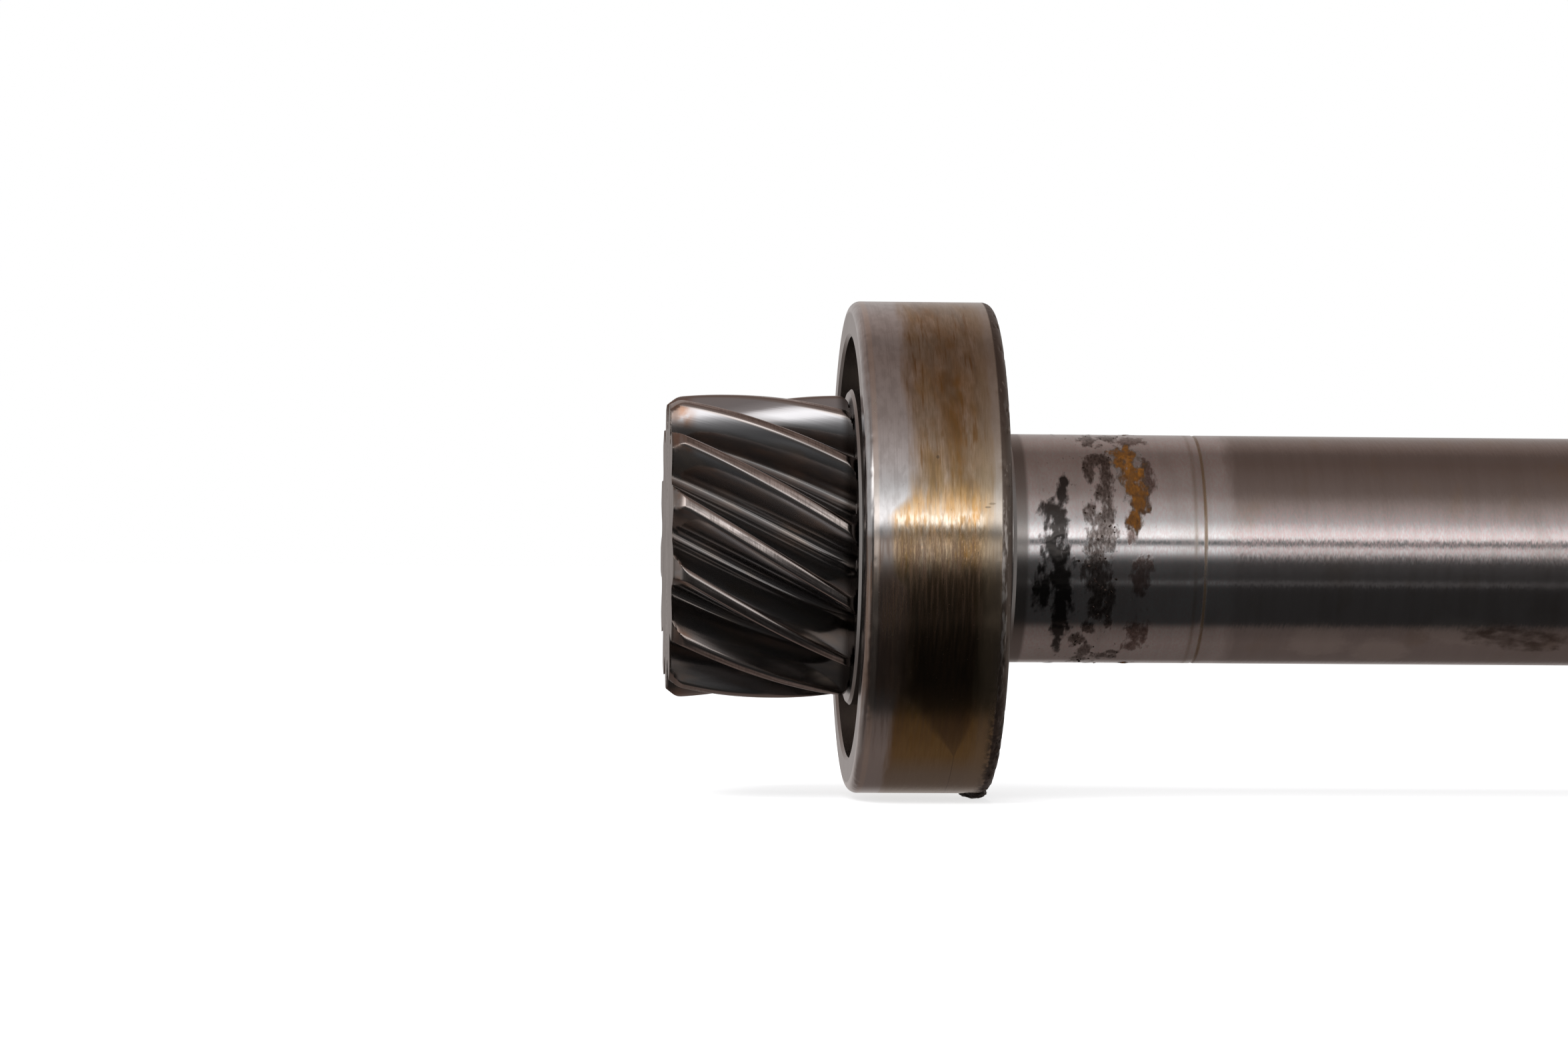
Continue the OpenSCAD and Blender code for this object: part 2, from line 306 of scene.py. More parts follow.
def helical_teeth_nodes():
    """Copies one tooth round the axis, twists the ring of teeth into a helix, and turns its ends to shape."""
    floats = ("First Tooth", "Turn per Metre", "Free End", "Face Width", "Tip Radius", "End Radius",
              "End Slope", "End Rounding", "Rounding")
    tree, sizes = node_group("helical_teeth", [
        ("Teeth", "NodeSocketInt"), *[(label, "NodeSocketFloat") for label in floats],
        ("Material", "NodeSocketMaterial"),
    ])
    step = add(tree, "ShaderNodeMath", {0: 2 * math.pi, 1: sizes["Teeth"]}, operation="DIVIDE")
    index = add(tree, "GeometryNodeInputIndex")
    turned = add(tree, "ShaderNodeMath", {0: index, 1: step, 2: sizes["First Tooth"]},
                 operation="MULTIPLY_ADD")
    turn = add(tree, "ShaderNodeCombineXYZ", {"X": turned})
    places = add(tree, "GeometryNodeMeshLine", {"Count": sizes["Teeth"], "Offset": (0, 0, 0)})
    copies = add(tree, "GeometryNodeInstanceOnPoints", {
        "Points": places, "Instance": sizes["Geometry"], "Rotation": turn})
    real = add(tree, "GeometryNodeRealizeInstances", {0: copies})

    here = add(tree, "GeometryNodeInputPosition")
    along = add(tree, "ShaderNodeSeparateXYZ", {0: here}).outputs["X"]
    twist = add(tree, "ShaderNodeMath", {0: along, 1: sizes["Turn per Metre"]}, operation="MULTIPLY")
    helix = add(tree, "ShaderNodeVectorRotate", {"Vector": here, "Angle": twist}, rotation_type="X_AXIS")
    twisted = add(tree, "GeometryNodeSetPosition", {"Geometry": real, "Position": helix})

    place = add(tree, "GeometryNodeInputPosition")
    axes = add(tree, "ShaderNodeSeparateXYZ", {0: place})
    x = axes.outputs["X"]
    flat = add(tree, "ShaderNodeCombineXYZ", {"Y": axes.outputs["Y"], "Z": axes.outputs["Z"]})
    radius = add(tree, "ShaderNodeVectorMath", {0: flat}, operation="LENGTH")
    cone = add(tree, "ShaderNodeMath", {0: x, 1: sizes["End Slope"], 2: sizes["End Radius"]},
               operation="MULTIPLY_ADD")
    worn_end = add(tree, "ShaderNodeMath", {0: cone, 1: sizes["Tip Radius"], 2: sizes["End Rounding"]},
                   operation="SMOOTH_MIN")
    rounding_start = add(tree, "ShaderNodeMath", {0: sizes["Face Width"], 1: sizes["Rounding"]},
                         operation="SUBTRACT")
    past = add(tree, "ShaderNodeMath", {0: x, 1: rounding_start}, operation="SUBTRACT")
    share = add(tree, "ShaderNodeMath", {0: past, 1: sizes["Rounding"]}, operation="DIVIDE", use_clamp=True)
    drop_square = add(tree, "ShaderNodeMath", {0: share, 1: share}, operation="MULTIPLY")
    left = add(tree, "ShaderNodeMath", {0: 1.0, 1: drop_square}, operation="SUBTRACT", use_clamp=True)
    height = add(tree, "ShaderNodeMath", {0: left}, operation="SQRT")
    below = add(tree, "ShaderNodeMath", {0: sizes["Tip Radius"], 1: sizes["Rounding"]}, operation="SUBTRACT")
    dome = add(tree, "ShaderNodeMath", {0: height, 1: sizes["Rounding"], 2: below}, operation="MULTIPLY_ADD")
    limit = add(tree, "ShaderNodeMath", {0: worn_end, 1: dome}, operation="MINIMUM")
    shrink = add(tree, "ShaderNodeMath", {0: limit, 1: radius}, operation="DIVIDE", use_clamp=True)
    inwards = add(tree, "ShaderNodeVectorMath", {0: flat, "Scale": shrink}, operation="SCALE")
    shifted = add(tree, "ShaderNodeMath", {0: x, 1: sizes["Free End"]}, operation="ADD")
    at_end = add(tree, "ShaderNodeCombineXYZ", {"X": shifted})
    final = add(tree, "ShaderNodeVectorMath", {0: inwards, 1: at_end}, operation="ADD")
    shaped = add(tree, "GeometryNodeSetPosition", {"Geometry": twisted, "Position": final})
    joined = add(tree, "GeometryNodeMergeByDistance", {"Geometry": shaped, "Distance": 0.002 * MM})
    painted = add(tree, "GeometryNodeSetMaterial", {"Geometry": joined, "Material": sizes["Material"]})
    add(tree, "NodeGroupOutput", {0: painted})
    return tree


def close_ends(piece):
    """Closes each open end of a tube round the axis with faces that meet on the axis."""
    shape = bmesh.new()
    shape.from_mesh(piece.data)
    open_edges = [e for e in shape.edges if e.is_boundary]
    for end in sorted({round(e.verts[0].co.x, 5) for e in open_edges}):
        centre = shape.verts.new((end, 0, 0))
        for edge in open_edges:
            if abs(edge.verts[0].co.x - end) < MM:
                beside = edge.link_faces[0].material_index
                shape.faces.new((*edge.verts, centre)).material_index = beside
    bmesh.ops.recalc_face_normals(shape, faces=shape.faces)
    shape.to_mesh(piece.data)
    shape.free()
    piece.data.shade_smooth()
    piece.data.set_sharp_from_angle(angle=TOOTH_SHARP_ANGLE)


def pinion_teeth(material):
    """The helical pinion, from its worn free end to the rounded ends of its teeth at the bearing."""
    made = made_by_nodes(tooth_skin(), helical_teeth_nodes(), {
        "Teeth": TEETH, "First Tooth": FIRST_TOOTH_ANGLE, "Turn per Metre": turn_per_mm / MM,
        "Free End": PINION_START * MM, "Face Width": FACE_WIDTH * MM, "Tip Radius": tip_radius * MM,
        "End Radius": WORN_END_RADIUS * MM, "End Slope": WORN_END_SLOPE,
        "End Rounding": WORN_END_ROUNDING * MM, "Rounding": TOOTH_ROUNDING * MM, "Material": material,
    })
    close_ends(made)
    return made


# Corrosion on the journal. Each patch is (place along the axis, angle above the front in degrees,
# half its length along the axis, half its length round the axis).

GRIME_PATCHES = [
    (13.0, 18.6, 1.4, 1.4), (14.2, 27, 0.6, 1.8), (14.4, 36, 0.5, 1.0), (13.5, 11, 1.1, 1.5),
    (12.9, 2, 1.1, 1.4), (13.8, -4, 1.1, 2.4), (13.9, -15, 1.2, 3.0), (14.2, -26, 1.1, 2.8),
    (14.1, -36, 0.8, 2.0), (14.2, -45, 1.0, 1.0), (14.1, -56, 0.4, 2.0), (12.0, -20, 0.9, 2.6),
]
SCALE_PATCHES = [
    (17.6, 72, 1.1, 2.0), (19.7, 76, 0.9, 1.2), (17.1, 44, 0.6, 1.9), (18.8, 41, 0.7, 2.2),
    (18.1, 51, 1.3, 0.9), (18.6, 29, 1.1, 1.2), (19.0, 24, 0.5, 0.8), (17.0, 17, 0.6, 1.3),
    (18.6, 15, 1.1, 1.5), (18.2, 7, 1.4, 2.2), (17.6, -6, 1.4, 2.0), (17.9, -17, 1.0, 2.4),
    (17.8, -29, 0.8, 2.2), (19.1, -28, 0.6, 3.4), (17.2, -42, 0.8, 1.0), (16.2, -52, 0.8, 1.2),
    (17.0, -61, 0.8, 1.5), (16.6, -76, 1.0, 1.6), (19.2, -69, 1.2, 0.8), (20.1, -63, 0.7, 0.5),
]
RUST_PATCHES = [
    (21.0, 52, 1.5, 2.4), (21.6, 41, 1.4, 1.8), (22.0, 31, 1.1, 1.6), (22.1, 24, 1.0, 1.2),
    (21.6, 15, 0.8, 1.4),
]
BROWN_PATCHES = [
    (21.9, 70, 1.6, 1.6), (23.1, 38, 0.8, 2.4), (22.8, 26, 0.6, 1.6), (21.3, 7, 0.5, 0.8),
    (23.2, -7, 0.6, 0.8), (22.3, -14, 0.9, 2.2), (22.1, -45, 0.9, 1.5), (23.1, -47, 0.5, 1.7),
    (22.0, -57, 0.9, 1.0),
]
CRUST = {
    # kind: patches, then the place and half width of its ring on the hidden side, and its height
    "grime": (GRIME_PATCHES, 14.0, 1.0, 0.04),
    "scale": (SCALE_PATCHES, 18.0, 1.6, 0.03),
    "rust": (RUST_PATCHES, 21.8, 1.1, 0.05),
    "brown": (BROWN_PATCHES, 22.4, 1.6, 0.01),
}
HIDDEN_MIDDLE, HIDDEN_HALF = math.radians(180), math.radians(92)
CORRODED_START, CORRODED_END = 10.5, 25.5
PATCH_REACH = 1.5  # how far a patch's density reaches, in its own half lengths
FRAY_SIZE, FRAY_DEPTH = 1.2, 0.55
CRUMB_SIZE = 0.55


def ragged(x, angle, size, seed):
    """Noise on the journal's surface, from about -1 to 1, whose features are about size across."""
    x, y, z = round_the_axis(x, JOURNAL_RADIUS, angle)
    return noise.fractal(Vector((1.6 * x, y, z)) / size + Vector((seed, seed, seed)), 0.8, 2.1, 5)


def turned_from(middle, angle):
    """How far an angle lies from a middle one, from minus half a turn to half a turn."""
    return (angle - middle + math.pi) % (2 * math.pi) - math.pi


def crust_density(kind, x, angle):
    """How thickly one kind of crust covers a point of the journal: 1 in the middle of a patch, 0 outside."""
    if not CORRODED_START < x < CORRODED_END:
        return 0.0
    patches, ring, ring_half, _ = CRUST[kind]
    depths = []
    for place, front_angle, half_along, half_round in patches:
        arc_away = turned_from(math.radians(front_angle), angle) * JOURNAL_RADIUS
        depths.append(PATCH_REACH - math.hypot((x - place) / half_along, arc_away / half_round))
    beyond = max(0.0, abs(turned_from(HIDDEN_MIDDLE, angle)) - HIDDEN_HALF)
    depths.append(0.9 - abs(x - ring) / ring_half - beyond * 4 + 0.7 * ragged(x, angle, 6.0, 9.0))
    frayed = max(depths) - 0.1 + FRAY_DEPTH * ragged(x, angle, FRAY_SIZE, 3.0)
    return min(1.0, max(0.0, frayed))


def soft_step(low, high, value):
    """0 up to low, 1 from high on, and smooth between them."""
    t = min(1.0, max(0.0, (value - low) / (high - low)))
    return t * t * (3 - 2 * t)


def journal_radius(x, radius, angle):
    """The journal's radius with the crust that stands on it."""
    if radius < JOURNAL_RADIUS - 0.01:
        return radius
    crumbs = 0.5 + 0.5 * ragged(x, angle, CRUMB_SIZE, 7.0)
    for kind, (_, _, _, height) in CRUST.items():
        radius += height * soft_step(0.4, 1.0, crust_density(kind, x, angle) * (0.6 + 0.6 * crumbs))
    return radius


def shaft_body(material):
    """The turned and ground part of the shaft, from inside the pinion to the centre hole in its plain end."""
    core_start, core_radius = PINION_START / 2 - RING_HALF, root_radius * CORE_SHARE
    mouth_depth = (CENTRE_MOUTH_RADIUS - CENTRE_PILOT_RADIUS) / math.tan(CENTRE_CONE_HALF)
    drill_tip_depth = CENTRE_PILOT_RADIUS / math.tan(DRILL_TIP_HALF)
    chamfer_start = JOURNAL_END - END_CHAMFER - END_EDGE_SETBACK
    chamfer_foot = JOURNAL_RADIUS - END_CHAMFER - END_EDGE_SETBACK
    profile = [(core_start, 0), (core_start, core_radius), (-RING_HALF, core_radius)]
    profile += [(-RING_HALF, SEAT_RADIUS - SEAT_EDGE), (-RING_HALF + SEAT_EDGE, SEAT_RADIUS)]
    profile += [(x, SEAT_RADIUS) for x in spread(0, SEAT_END - SEAT_EDGE, 3)]
    profile += [(SEAT_END, SEAT_RADIUS - STEP_EDGE), (SEAT_END + STEP_LENGTH, JOURNAL_RADIUS + STEP_EDGE)]
    for start, end, step in (
            (SEAT_END + 0.4, CORRODED_START, 0.8), (CORRODED_START, CORRODED_END, 0.2),
            (CORRODED_END, WEAR_LINE - 0.4, 1.0)):
        profile += [(x, JOURNAL_RADIUS) for x in spread(start, end, step)]
    wear_floor = JOURNAL_RADIUS - WEAR_DEPTH
    profile += [(WEAR_LINE - WEAR_HALF, JOURNAL_RADIUS), (WEAR_LINE - WEAR_FLOOR_HALF, wear_floor)]
    profile += [(WEAR_LINE + WEAR_FLOOR_HALF, wear_floor), (WEAR_LINE + WEAR_HALF, JOURNAL_RADIUS)]
    profile += [(x, JOURNAL_RADIUS) for x in spread(WEAR_LINE + 1, chamfer_start, 4)]
    profile += arc(chamfer_start, JOURNAL_RADIUS - END_EDGE_RADIUS, END_EDGE_RADIUS, 90, 45, 3)
    profile += arc(JOURNAL_END - END_EDGE_RADIUS, chamfer_foot, END_EDGE_RADIUS, 45, 0, 3)
    profile += [(JOURNAL_END, radius) for radius in (8.0, 5.0, CENTRE_MOUTH_RADIUS + 0.1)]
    profile += [(JOURNAL_END - CENTRE_MOUTH_EDGE, CENTRE_MOUTH_RADIUS)]
    profile += [(JOURNAL_END - depth, CENTRE_PILOT_RADIUS) for depth in (mouth_depth, CENTRE_DEPTH)]
    profile += [(JOURNAL_END - CENTRE_DEPTH - drill_tip_depth, 0)]
    made = lathe("shaft_body", profile, SHAFT_SEGMENTS, False, journal_radius)
    made.data.materials.append(material)
    for kind in CRUST:
        layer = made.data.attributes.new(kind, "FLOAT", "POINT")
        for vertex in made.data.vertices:
            x, y, z = vertex.co / MM
            if CORRODED_START < x < CORRODED_END:
                layer.data[vertex.index].value = crust_density(kind, x, math.atan2(z, -y))
    return made


def scale_flakes_nodes():
    """Scatters thin flakes over a skin, where its scale attribute is high."""
    tree, sizes = node_group("scale_flakes", [
        ("Density", "NodeSocketFloat"), ("Flake Size", "NodeSocketFloat"), ("Seed", "NodeSocketInt"),
        ("Material", "NodeSocketMaterial"),
    ])
    amount = add(tree, "GeometryNodeInputNamedAttribute", {"Name": "scale"}, data_type="FLOAT")
    dense = add(tree, "ShaderNodeMath", {0: amount, 1: sizes["Density"]}, operation="MULTIPLY")
    points = add(tree, "GeometryNodeDistributePointsOnFaces", {
        "Mesh": sizes["Geometry"], "Density": dense, "Seed": sizes["Seed"]})
    plate = add(tree, "GeometryNodeMeshCone", {
        "Vertices": 7, "Side Segments": 2, "Radius Top": 0.55, "Radius Bottom": 0.8, "Depth": 0.3})
    spin = add(tree, "FunctionNodeRandomValue", {
        0: (-0.3, -0.3, 0.0), 1: (0.3, 0.3, 6.28), "Seed": sizes["Seed"]}, data_type="FLOAT_VECTOR")
    laid = add(tree, "FunctionNodeRotateRotation", {
        "Rotation": points.outputs["Rotation"], "Rotate By": spin}, rotation_space="LOCAL")
    stretch = add(tree, "FunctionNodeRandomValue", {
        0: (0.35, 0.35, 0.3), 1: (1.0, 0.7, 0.9), "Seed": sizes["Seed"]}, data_type="FLOAT_VECTOR")
    sized = add(tree, "ShaderNodeVectorMath", {0: stretch, "Scale": sizes["Flake Size"]}, operation="SCALE")
    flakes = add(tree, "GeometryNodeInstanceOnPoints", {
        "Points": points.outputs["Points"], "Instance": plate.outputs["Mesh"], "Rotation": laid,
        "Scale": sized})
    real = add(tree, "GeometryNodeRealizeInstances", {0: flakes})
    painted = add(tree, "GeometryNodeSetMaterial", {"Geometry": real, "Material": sizes["Material"]})
    add(tree, "NodeGroupOutput", {0: painted})
    return tree


def scale_flakes(shaft, material):
    """Loose flakes of scale that stand on the crust of the journal."""
    skin = in_scene("scale_flakes", shaft.data.copy())
    return made_by_nodes(skin, scale_flakes_nodes(), {
        "Density": 0.9e6, "Flake Size": 0.27 * MM, "Seed": 11, "Material": material,
    })


# The bearing's rings

# Radii of the points on a ring's side face, as distances from its shoulder's chamfer
OUTER_FACE_STEPS = (0, 0.05, 0.8, 1.6, 2.2)
INNER_FACE_STEPS = (0, 0.05, 1.0, 2.0)
CRUMBLED_FROM, CRUMBLED_FULL = math.radians(35), math.radians(60)  # below the front, on the outer ring


def outer_ring_radius(x, radius, angle):
    """Wear on the outer ring: chips along its right edge, and small dents along its left one."""
    if radius < RING_RADIUS - RING_EDGE_RADIUS - 0.3:
        return radius
    place = Vector(round_the_axis(x, RING_RADIUS, angle))
    edge = RING_HALF - RING_EDGE_RADIUS
    right = soft_step(edge - 0.2, edge + 0.4, x)
    left = soft_step(edge - 0.1, edge + 0.4, -x)
    stretched = Vector((1.1 * place.x, 0.4 * place.y, 0.4 * place.z))
    chips = soft_step(0.2, 0.7, noise.fractal(stretched, 0.7, 2.2, 5))
    dents = soft_step(0.2, 0.7, noise.fractal(place / 1.1 + Vector((4, 4, 4)), 0.8, 2.2, 4))
    below_front = -turned_from(0, angle)
    crumbled = soft_step(CRUMBLED_FROM, CRUMBLED_FULL, below_front)
    bumps = (0.02 + 0.15 * crumbled) * noise.fractal(place / 0.8 + Vector((8, 8, 8)), 0.9, 2.1, 3)
    return min(RING_RADIUS + 0.1, radius - right * (0.2 * chips - bumps) - left * 0.05 * dents)


def bearing_outer_ring(material):
    """The outer ring, open at the sides, with the balls' groove in its bore."""
    flat_end, edge_centre = RING_HALF - RING_EDGE_RADIUS, RING_RADIUS - RING_EDGE_RADIUS
    groove_half = math.degrees(math.acos((OUTER_SHOULDER_RADIUS - OUTER_GROOVE_CENTRE) / GROOVE_RADIUS))
    face_radii = [OUTER_SHOULDER_RADIUS + SHOULDER_CHAMFER + d for d in OUTER_FACE_STEPS]
    profile = [(-RING_HALF, radius) for radius in face_radii]
    profile += arc(-flat_end, edge_centre, RING_EDGE_RADIUS, 180, 90, 10)
    profile += [(x, RING_RADIUS) for x in spread(-flat_end, flat_end, 0.4)[1:]]
    profile += arc(flat_end, edge_centre, RING_EDGE_RADIUS, 90, 0, 12)
    profile += [(RING_HALF, radius) for radius in reversed(face_radii)]
    profile += [(RING_HALF - SHOULDER_CHAMFER, OUTER_SHOULDER_RADIUS)]
    profile += arc(0, OUTER_GROOVE_CENTRE, GROOVE_RADIUS, 90 - groove_half, 90 + groove_half, 24)
    profile += [(-RING_HALF + SHOULDER_CHAMFER, OUTER_SHOULDER_RADIUS)]
    made = lathe("outer_ring", profile, OUTER_RING_SEGMENTS, True, outer_ring_radius)
    made.data.materials.append(material)
    return made


def bearing_inner_ring(material):
    """The inner ring, pressed on the shaft's seat, with the balls' groove round its outside."""
    groove_half = math.degrees(math.acos((INNER_GROOVE_CENTRE - INNER_SHOULDER_RADIUS) / GROOVE_RADIUS))
    bore = SEAT_RADIUS + BORE_GAP
    face_radii = [INNER_SHOULDER_RADIUS - SHOULDER_CHAMFER - d for d in INNER_FACE_STEPS]
    profile = [(-RING_HALF + BORE_EDGE_CHAMFER, bore), (-RING_HALF, bore + BORE_EDGE_CHAMFER)]
    profile += [(-RING_HALF, radius) for radius in reversed(face_radii)]
    profile += [(-RING_HALF + SHOULDER_CHAMFER, INNER_SHOULDER_RADIUS)]
    profile += arc(0, INNER_GROOVE_CENTRE, GROOVE_RADIUS, -90 - groove_half, -90 + groove_half, 24)
    profile += [(RING_HALF - SHOULDER_CHAMFER, INNER_SHOULDER_RADIUS)]
    profile += [(RING_HALF, radius) for radius in face_radii]
    profile += [(RING_HALF, bore + BORE_EDGE_CHAMFER), (RING_HALF - BORE_EDGE_CHAMFER, bore)]
    made = lathe("inner_ring", profile, INNER_RING_SEGMENTS, True)
    made.data.materials.append(material)
    return made


DRIP_SIZE = Vector((1.5, 2.4, 0.62))
DRIP_PLACE = Vector((RING_HALF - 1.35, 0.6, -RING_RADIUS + 0.1))


def grime_drip(material):
    """A hardened drip of oil and dirt that hangs at the lowest point of the outer ring's right edge."""
    shape = bmesh.new()
    bmesh.ops.create_icosphere(shape, subdivisions=5, radius=1.0)
    for vertex in shape.verts:
        lump = 1 + 0.22 * noise.fractal(vertex.co * 1.7, 0.8, 2.1, 4)
        vertex.co = (vertex.co * lump * DRIP_SIZE + DRIP_PLACE) * MM
    mesh = bpy.data.meshes.new("grime_drip")
    shape.to_mesh(mesh)
    shape.free()
    mesh.shade_smooth()
    mesh.materials.append(material)
    return in_scene("grime_drip", mesh)


# Materials

STAIN_SOFTNESS = 0.3  # how far a stain's border fades, as a share of its size


def new_material(name):
    """A material with one Principled shader. Returns it, its tree, its shader and the position in mm."""
    material = bpy.data.materials.new(name)
    material.use_nodes = True
    tree = material.node_tree
    tree.nodes.clear()
    shader = add(tree, "ShaderNodeBsdfPrincipled")
    add(tree, "ShaderNodeOutputMaterial", {"Surface": shader})
    place = add(tree, "ShaderNodeTexCoord").outputs["Object"]
    in_mm = add(tree, "ShaderNodeVectorMath", {0: place, "Scale": 1 / MM}, operation="SCALE")
    return material, tree, shader, in_mm


def grain(tree, in_mm, along, across, low=None, high=None, detail=3.0, seed=0.0):
    """Noise with features about `along` mm long and `across` mm round the axis, a mask if low is given."""
    sized = add(tree, "ShaderNodeVectorMath", {0: in_mm, 1: (1 / along, 1 / across, 1 / across)},
                operation="MULTIPLY")
    made = add(tree, "ShaderNodeTexNoise", {"Vector": sized, "W": seed, "Scale": 1.0, "Detail": detail},
               noise_dimensions="4D")
    if low is None:
        return made
    return add(tree, "ShaderNodeMapRange", {"Value": made, "From Min": low, "From Max": high},
               interpolation_type="SMOOTHSTEP")


def stain(tree, in_mm, radius, place, angle, half_along, half_round, raggedness, lobe):
    """A mask for one stain on a round surface, about a place along the axis and an angle above the front."""
    centre = round_the_axis(place, radius, math.radians(angle))
    offset = add(tree, "ShaderNodeVectorMath", {0: in_mm, 1: centre}, operation="SUBTRACT")
    sized = add(tree, "ShaderNodeVectorMath", {
        0: offset, 1: (1 / half_along, 1 / half_round, 1 / half_round)}, operation="MULTIPLY")
    distance = add(tree, "ShaderNodeVectorMath", {0: sized}, operation="LENGTH")
    edge = grain(tree, in_mm, lobe, lobe, seed=place)
    pushed = add(tree, "ShaderNodeMath", {0: edge, 1: -2 * raggedness, 2: distance}, operation="MULTIPLY_ADD")
    return add(tree, "ShaderNodeMapRange", {
        "Value": pushed, "From Min": 1 - raggedness + STAIN_SOFTNESS,
        "From Max": 1 - raggedness - STAIN_SOFTNESS},
        interpolation_type="SMOOTHSTEP")


def stains(tree, in_mm, radius, rows):
    """A mask for several stains. Each row holds what `stain` takes, from its place on."""
    return strongest(tree, [stain(tree, in_mm, radius, *row) for row in rows])


def strongest(tree, masks):
    """The highest of several masks."""
    result = masks[0]
    for other in masks[1:]:
        result = add(tree, "ShaderNodeMath", {0: result, 1: other}, operation="MAXIMUM")
    return result


def scaled(tree, *factors):
    """The product of masks and numbers."""
    result = factors[0]
    for other in factors[1:]:
        result = add(tree, "ShaderNodeMath", {0: result, 1: other}, operation="MULTIPLY")
    return result


def band(tree, value, low, high, soft):
    """A mask that is 1 where value lies between low and high, and falls to 0 over `soft` on both sides."""
    rise = add(tree, "ShaderNodeMapRange", {"Value": value, "From Min": low - soft, "From Max": low + soft},
               interpolation_type="SMOOTHSTEP")
    fall = add(tree, "ShaderNodeMapRange", {"Value": value, "From Min": high + soft, "From Max": high - soft},
               interpolation_type="SMOOTHSTEP")
    return scaled(tree, rise, fall)


def axis_places(tree, in_mm):
    """The place along the axis, the height above it, and the radius about it."""
    axes = add(tree, "ShaderNodeSeparateXYZ", {0: in_mm})
    flat = add(tree, "ShaderNodeCombineXYZ", {"Y": axes.outputs["Y"], "Z": axes.outputs["Z"]})
    radius = add(tree, "ShaderNodeVectorMath", {0: flat}, operation="LENGTH")
    return axes.outputs["X"], axes.outputs["Z"], radius


def paint(tree, shader, bare, coats):
    """Lays coats over the bare (hex colour, roughness, metallic) surface.

    A coat is (masks, hex colour, roughness, metallic), and lies where the product of its masks is high.
    """
    colour, roughness, metallic = linear(bare[0]), bare[1], bare[2]
    for masks, coat_colour, coat_roughness, coat_metallic in coats:
        mask = scaled(tree, *masks)
        colour = add(tree, "ShaderNodeMix", {0: mask, 6: colour, 7: linear(coat_colour)}, data_type="RGBA")
        roughness = add(tree, "ShaderNodeMix", {0: mask, 2: roughness, 3: coat_roughness})
        if metallic != coat_metallic:
            metallic = add(tree, "ShaderNodeMix", {0: mask, 2: metallic, 3: coat_metallic})
    for name, value in (("Base Color", colour), ("Roughness", roughness), ("Metallic", metallic)):
        if isinstance(value, bpy.types.Node):
            tree.links.new(next(s for s in value.outputs if s.enabled), shader.inputs[name])
        else:
            shader.inputs[name].default_value = value


def relief(tree, shader, heights):
    """Bump from (pattern, height in millimetres) pairs."""
    total = 0.0
    for pattern, height in heights:
        total = add(tree, "ShaderNodeMath", {0: pattern, 1: height, 2: total}, operation="MULTIPLY_ADD")
    bump = add(tree, "ShaderNodeBump", {"Height": total, "Distance": MM})
    tree.links.new(bump.outputs["Normal"], shader.inputs["Normal"])


def crust_mask(tree, in_mm, kind, size, cover):
    """Turns one kind's density into speckles about size across, which close up where the crust is thick."""
    density = add(tree, "ShaderNodeAttribute", attribute_name=kind).outputs["Fac"]
    speckle = grain(tree, in_mm, 0.6 * size, 1.5 * size, detail=9.0, seed=len(kind) + size)
    uneven = add(tree, "ShaderNodeMath", {0: speckle, 1: 4.5, 2: cover - 3.2}, operation="MULTIPLY_ADD")
    risen = add(tree, "ShaderNodeMath", {0: density, 1: 2.0, 2: uneven}, operation="MULTIPLY_ADD")
    speckles = add(tree, "ShaderNodeMapRange", {"Value": risen, "From Min": -0.8, "From Max": 0.85},
                   interpolation_type="SMOOTHSTEP")
    covered = add(tree, "ShaderNodeMapRange", {"Value": density, "From Min": 0.0, "From Max": 0.3},
                  interpolation_type="SMOOTHSTEP")
    return scaled(tree, speckles, covered)


# Stains on the journal and the outer ring. Each is (place along the axis, angle above the front in degrees,
# half its length along the axis, half its length round the axis, raggedness, size of its edge's lobes).
LOW_STAINS = [(60.5, -46, 3.4, 1.6, 0.7, 1.0), (64.5, -51, 3.4, 1.8, 0.7, 1.0), (78, 30, 6, 3, 0.7, 1.2)]
WIPED_PATCHES = [
    (41.5, -52, 3.0, 3.0, 0.5, 1.0), (56.5, -44, 4.0, 2.0, 0.5, 1.0), (48.5, -62, 3.0, 2.5, 0.5, 1.0),
]
RING_SPECKS = [
    (-6.4, 35, 0.2, 0.35, 0.3, 0.4), (-6.4, 32.5, 0.14, 0.16, 0.3, 0.4), (-0.15, 21, 0.16, 0.2, 0.3, 0.4),
    (5.3, 10.2, 0.35, 0.12, 0.3, 0.3), (4.9, 9.4, 0.3, 0.1, 0.3, 0.3),
]
VARNISH_START = 31.0
JOURNAL_FILM_START = 32.0
JOURNAL_DUST_START = 62.0


